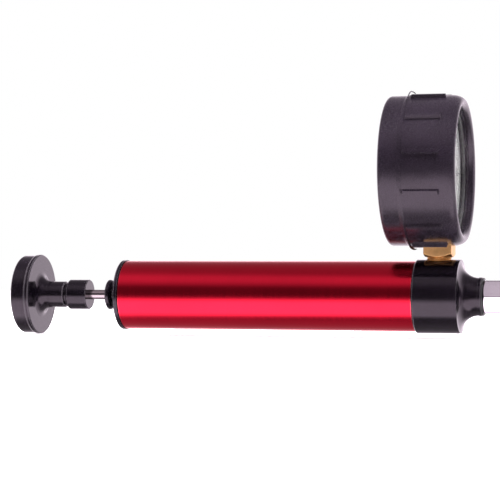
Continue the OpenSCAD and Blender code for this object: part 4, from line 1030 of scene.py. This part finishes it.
class PUMP_OT_dial(PumpPiece, bpy.types.Operator):
    """Printed scale and numbers, pointer, and the bezel round them"""

    bl_idname = "pump.dial"
    bl_label = "Dial"

    def execute(self, context):
        sizes = context.scene.pump_sizes
        face = span("dial")[1][0]
        self.scale(face, sizes)
        self.numbers(face, sizes)
        self.pointer()
        along, radius, edge = eased(
            (3.8, 33.45, 0.1), (3.8, 34.15, 0.2), (7.75, 34.15, 0.3), (8.15, 33.75, 0.3), (8.15, 31.2, 0.25),
            (7.45, 31.2, 0.1), (7.45, 33.45, 0), closed=True,
        )
        place("bezel_ring", mesh_of("bezel_ring", (turned(along, radius, 192, GAUGE), edge, True)), "bezel",
              centre=GAUGE)
        return {"FINISHED"}

    def on_dial(self, right, up, out, face):
        """Points as the reader sees them, moved to the dial: right is +Y, up is +Z and out is +X."""
        return np.stack([face + out, GAUGE[1] + right, GAUGE[2] + up], -1)

    def scale(self, face, sizes):
        """Marks and arc: each mark is a bar from one radius to another, turned to its clock angle."""
        tip, between, steps = 28.4, 5, 181
        angle = np.radians(np.linspace(-HALF_SWEEP, HALF_SWEEP, sizes.divisions * between + 1))
        long_mark = np.arange(len(angle)) % between == 0
        inner, half = np.where(long_mark, 24.6, 26.4), np.where(long_mark, 0.36, 0.16)
        across, along = np.array([-1, 1, 1, -1, -1, 1, 1, -1]), np.array([0, 0, 1, 1, 0, 0, 1, 1])
        out = np.array([0, 0, 0, 0, 1, 1, 1, 1]) * PRINT
        reach = inner[:, None] + (tip - inner[:, None]) * along
        side = half[:, None] * across
        s, c = np.sin(angle)[:, None], np.cos(angle)[:, None]
        points = self.on_dial(
            reach * s + side * c, reach * c - side * s, np.broadcast_to(out, reach.shape), face
        )
        box = np.array([(0, 1, 2, 3), (7, 6, 5, 4), (0, 4, 5, 1), (1, 5, 6, 2), (2, 6, 7, 3), (3, 7, 4, 0)])
        faces = (box[None] + 8 * np.arange(len(angle))[:, None, None]).reshape(-1, 4)
        ring = np.array([(tip, 0), (tip, PRINT), (tip + 0.4, PRINT), (tip + 0.4, 0)])
        turn = np.radians(np.linspace(-HALF_SWEEP - 0.7, HALF_SWEEP + 0.7, steps))
        arc_points = self.on_dial(
            ring[None, :, 0] * np.sin(turn)[:, None], ring[None, :, 0] * np.cos(turn)[:, None],
            np.broadcast_to(ring[:, 1], (steps, 4)), face,
        ).reshape(-1, 3)
        index = 8 * len(angle) + np.arange(steps * 4).reshape(steps, 4)
        low, high = index[:-1], index[1:]
        walls = np.stack([low, np.roll(low, -1, 1), np.roll(high, -1, 1), high], -1).reshape(-1, 4)
        ends = np.array([index[0, ::-1], index[-1]])
        place(
            "dial_scale", solid("dial_scale", np.vstack([points.reshape(-1, 3), arc_points]),
                                np.vstack([faces, walls, ends])),
            "dial", slot="pointer_black", instead=False, centre=GAUGE,
        )

    def numbers(self, face, sizes):
        """Numbers of the long marks, as thin raised print."""
        bm, ring = bmesh.new(), 20.2
        for index in range(sizes.divisions + 1):
            text = bpy.data.curves.new("number", "FONT")
            text.body = str(index * sizes.number_step)
            text.size, text.extrude = sizes.number_height * 1.4, PRINT / 2
            text.align_x, text.align_y = "CENTER", "CENTER"
            text.resolution_u = 4
            holder = bpy.data.objects.new("number", text)
            bpy.context.scene.collection.objects.link(holder)
            bpy.context.view_layer.update()
            graph = bpy.context.evaluated_depsgraph_get()
            mesh = bpy.data.meshes.new_from_object(holder.evaluated_get(graph), depsgraph=graph)
            points = np.empty(len(mesh.vertices) * 3, np.float32)
            mesh.vertices.foreach_get("co", points)
            points = points.reshape(-1, 3)
            angle = math.radians(HALF_SWEEP * (2 * index / sizes.divisions - 1))
            right, up = ring * math.sin(angle), ring * math.cos(angle)
            moved = self.on_dial(
                points[:, 0] + right, points[:, 1] + up, points[:, 2] + PRINT / 2, face
            )
            mesh.vertices.foreach_set("co", (moved * MM).astype(np.float32).ravel())
            bm.from_mesh(mesh)
            bpy.data.objects.remove(holder)
        mesh = bpy.data.meshes.new("dial_numbers")
        bmesh.ops.remove_doubles(bm, verts=bm.verts, dist=1e-7)
        bmesh.ops.recalc_face_normals(bm, faces=bm.faces)
        bm.to_mesh(mesh)
        bm.free()
        place("dial_numbers", mesh, "dial", slot="pointer_black", instead=False, centre=GAUGE)

    def pointer(self):
        """Lance-shaped blade whose section is a low ridge as wide as the blade is there, and a domed hub."""
        far = np.concatenate([np.linspace(-9, -8.6, 4), np.linspace(-8, 22, 40), np.linspace(22.5, 25, 9)])
        half = np.interp(far, [-9, -8.6, -3, 0, 20, 25], [1.0, 1.3, 1.1, 0.8, 0.75, 0.06])
        section = np.array([(-1, 0), (-1, 0.1), (-0.5, 0.24), (0, 0.3), (0.5, 0.24), (1, 0.1), (1, 0)])
        side = half[:, None] * section[:, 0]
        out = 5.05 + np.broadcast_to(section[:, 1], side.shape)
        turn = math.radians(-HALF_SWEEP)
        s, c = math.sin(turn), math.cos(turn)
        along = np.broadcast_to(far[:, None], side.shape)
        blade = self.on_dial(along * s + side * c, along * c - side * s, out, GAUGE[0])
        ends = [np.repeat(blade[i:i + 1].mean(1, keepdims=True), blade.shape[1], 1) for i in (0, -1)]
        blade = np.vstack([ends[0], blade, ends[1]])
        along, radius, edge = eased(
            (4.7, 0, 0), (4.7, 1.6, 0.05), (5.4, 1.6, 0.1), arc((5.4, 0), (0.25, 1.3), 90, 0, 8),
        )
        hub = turned(along, radius, 48, GAUGE)
        place("pointer_hand", mesh_of("pointer_hand", (blade, None, False), (hub, edge, False), smooth=25),
              "pointer", centre=GAUGE)


class PUMP_OT_outlet(PumpPiece, bpy.types.Operator):
    """Plated outlet with its hexagon, nose and ball holes, and the coupler's grooved sleeve"""

    bl_idname = "pump.outlet"
    bl_label = "Outlet"

    def execute(self, context):
        sizes = context.scene.pump_sizes
        ease = sizes.ease / MM
        back = span("outlet_body")[0][0]
        hex_back, hex_front, across = -46.0, -26.0, sizes.hexagon / MM
        flange, nose, tail, bore, passage = 10, 8, 6.5, 5, 2
        corner = across / math.sqrt(3)
        bevel = (corner - across / 2 + 0.3) / math.sqrt(3)
        along, radius, edge = eased(
            (back, passage, 0.1), (back, tail - 0.5, 0.1), (back + 0.5, tail, 0.1), (hex_back, tail, 0),
            (hex_back, across / 2 - 0.3, 0.1),
            line((hex_back + 0.02, across / 2 - 0.26), (hex_back + bevel, corner), 12),
            (hex_back + bevel + 0.15, corner + 0.3, 0), (hex_front - bevel - 0.15, corner + 0.3, 0),
            line((hex_front - bevel, corner), (hex_front - 0.02, across / 2 - 0.26), 12),
            (hex_front, across / 2 - 0.3, 0), (hex_front, flange, 0.12), (hex_front + 1.5, flange, 0.12),
            (hex_front + 1.5, nose, 0), (-1.65, nose, 0.05), (-1.65, nose - 0.8, 0),
            (-0.55, nose - 0.8, 0), (-0.55, nose, 0.05), (-0.3, nose, 0.08), (0, nose - 0.3, 0.08),
            (0, bore, 0.15), (-6.5, bore, 0.05), (-6.5, bore + 0.35, 0), (-11.5, bore + 0.35, 0),
            (-11.5, bore, 0.05), (-14.55, bore, 0.05), (-14.55, bore + 1.15, 0),
            (-16.95, bore + 1.15, 0), (-16.95, bore, 0.05), (-20, bore, 0), (-20, passage, 0.1),
            closed=True,
        )
        turn = np.linspace(0, 2 * math.pi, 240, endpoint=False)
        six = flats(6, across, radius, turn, 0.0, sizes.corner_power)
        hexagon = (along > hex_back - 0.01) & (along < hex_front + 0.01)
        hexagon &= (radius > nose - 0.3) & (radius < corner + 0.4)
        radius = np.where(hexagon[:, None], six, radius[:, None])
        mesh = mesh_of("outlet", (turned(along, radius, 240, angles=turn), edge, True), smooth=40)
        drill = turned([4.9, 4.9, 5.7, 13, 13], [0, 1.55, 1.9, 1.9, 0], 40, (-9, 0, 0), "z")
        tools = [mesh_of("tool", (around_x(drill, 90 * k), None, False)) for k in range(4)]
        place("outlet", cut("outlet", mesh, *tools, smooth=40), "outlet_body")

        low, high = span("coupler_sleeve")
        back, front, r = low[0], high[0], high[2]
        wide, release, lock = 10.3, 8.95, 8.1
        grooves = [
            row for k in range(5) for x in (back + 4 + 2.2 * k,)
            for row in ((x - 0.5, r, 0.12), (x, r - 0.5, 0.08), (x + 0.5, r, 0.12))
        ]
        along, radius, edge = eased(
            (back, wide, ease), (back, r - 0.8, 0.15), (back + 0.8, r, 0.15), *grooves,
            (front - 1.5, r, 0.3), (front, r - 1.5, 0.2), (front, release, 0.1), (-4.2, release, 0),
            (-9.3, lock, 0), (-13, lock, ease), (-13, wide, 0), closed=True,
        )
        place("sleeve", mesh_of("sleeve", (turned(along, radius, 192), edge, True)), "coupler_sleeve")

        low, high = span("outlet_washer")
        hole = tail + 0.3
        along, radius, edge = eased(
            (low[0], hole, ease), (low[0], high[2], 0.2), (high[0], high[2], 0.2), (high[0], hole, ease),
            closed=True,
        )
        place("washer", mesh_of("washer", (turned(along, radius), edge, True)), "outlet_washer")
        return {"FINISHED"}


class PUMP_OT_springs(PumpPiece, bpy.types.Operator):
    """Springs of valve and sleeve"""

    bl_idname = "pump.springs"
    bl_label = "Springs"

    def execute(self, context):
        # Name, wire in millimetres and turns of each spring's piece.
        wires = {"check_spring": ("valve_coil", 0.5, 6), "sleeve_spring": ("sleeve_coil", 1.0, 5)}
        for joint in frame["joints"]:
            for spring in joint.get("deforming_nodes", ()):
                if spring["node"] in wires:
                    self.spring(joint, spring["node"], spring["fixed_end_x_m"], *wires[spring["node"]])
        return {"FINISHED"}

    def spring(self, joint, node, seat, name, wire, turns):
        """Round wire wound about the pump's axis over the length of its solid. The joint and the seat that it is
        given are not used.

        The wire's middle runs at an even pace along +X as it turns from the top. Round it stands
        a circle in the plane of the outward direction and its cross product with the wire's.
        """
        low, high = span(node)
        pace = np.linspace(0, 1, turns * 36 + 1)
        angle = 2 * math.pi * turns * pace
        out = np.column_stack([np.zeros_like(pace), np.sin(angle), np.cos(angle)])
        middle = (high[2] - wire / 2) * out
        middle[:, 0] = low[0] + wire / 2 + (high[0] - low[0] - wire) * pace
        way = np.gradient(middle, axis=0)
        side = np.cross(way / np.linalg.norm(way, axis=1)[:, None], out)
        turn = np.linspace(0, 2 * math.pi, 12, endpoint=False)[None, :, None]
        ring = wire / 2 * (np.cos(turn) * out[:, None] + np.sin(turn) * side[:, None])
        ring = np.concatenate([0 * ring[:1], ring, 0 * ring[-1:]])
        shape = middle[[0, *range(len(middle)), -1], None] + ring
        piece = place(name, mesh_of(name, (shape, None, False), smooth=60), node)
        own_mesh(piece)


OPERATORS = (
    PUMP_OT_studio, PUMP_OT_solids, PUMP_OT_barrel, PUMP_OT_plunger, PUMP_OT_head, PUMP_OT_stem,
    PUMP_OT_boot, PUMP_OT_dial, PUMP_OT_outlet, PUMP_OT_springs,
)
GROUPS = {"pump_sizes": PumpSizes, "pump_finishes": PumpFinishes, "pump_studio": PumpStudio}


class PUMP_PT_pump(bpy.types.Panel):
    """The pump's settings and the buttons that build its pieces."""

    bl_idname = "PUMP_PT_pump"
    bl_label = "Pump"
    bl_space_type = "VIEW_3D"
    bl_region_type = "UI"
    bl_category = "Pump"

    def draw(self, context):
        for name, group in GROUPS.items():
            box = self.layout.box()
            for key in group.__annotations__:
                box.prop(getattr(context.scene, name), key)
        for operator in OPERATORS:
            self.layout.operator(operator.bl_idname)


def register():
    for group in GROUPS.values():
        bpy.utils.register_class(group)
    for name, group in GROUPS.items():
        setattr(bpy.types.Scene, name, PointerProperty(type=group))
    for operator in OPERATORS:
        bpy.utils.register_class(operator)
    bpy.utils.register_class(PUMP_PT_pump)


def unregister():
    bpy.utils.unregister_class(PUMP_PT_pump)
    for operator in reversed(OPERATORS):
        bpy.utils.unregister_class(operator)
    for name in GROUPS:
        delattr(bpy.types.Scene, name)
    for group in reversed(list(GROUPS.values())):
        bpy.utils.unregister_class(group)


def main():
    register()
    for operator in OPERATORS:
        group, name = operator.bl_idname.split(".")
        getattr(getattr(bpy.ops, group), name)()


if __name__ == "__main__":
    main()
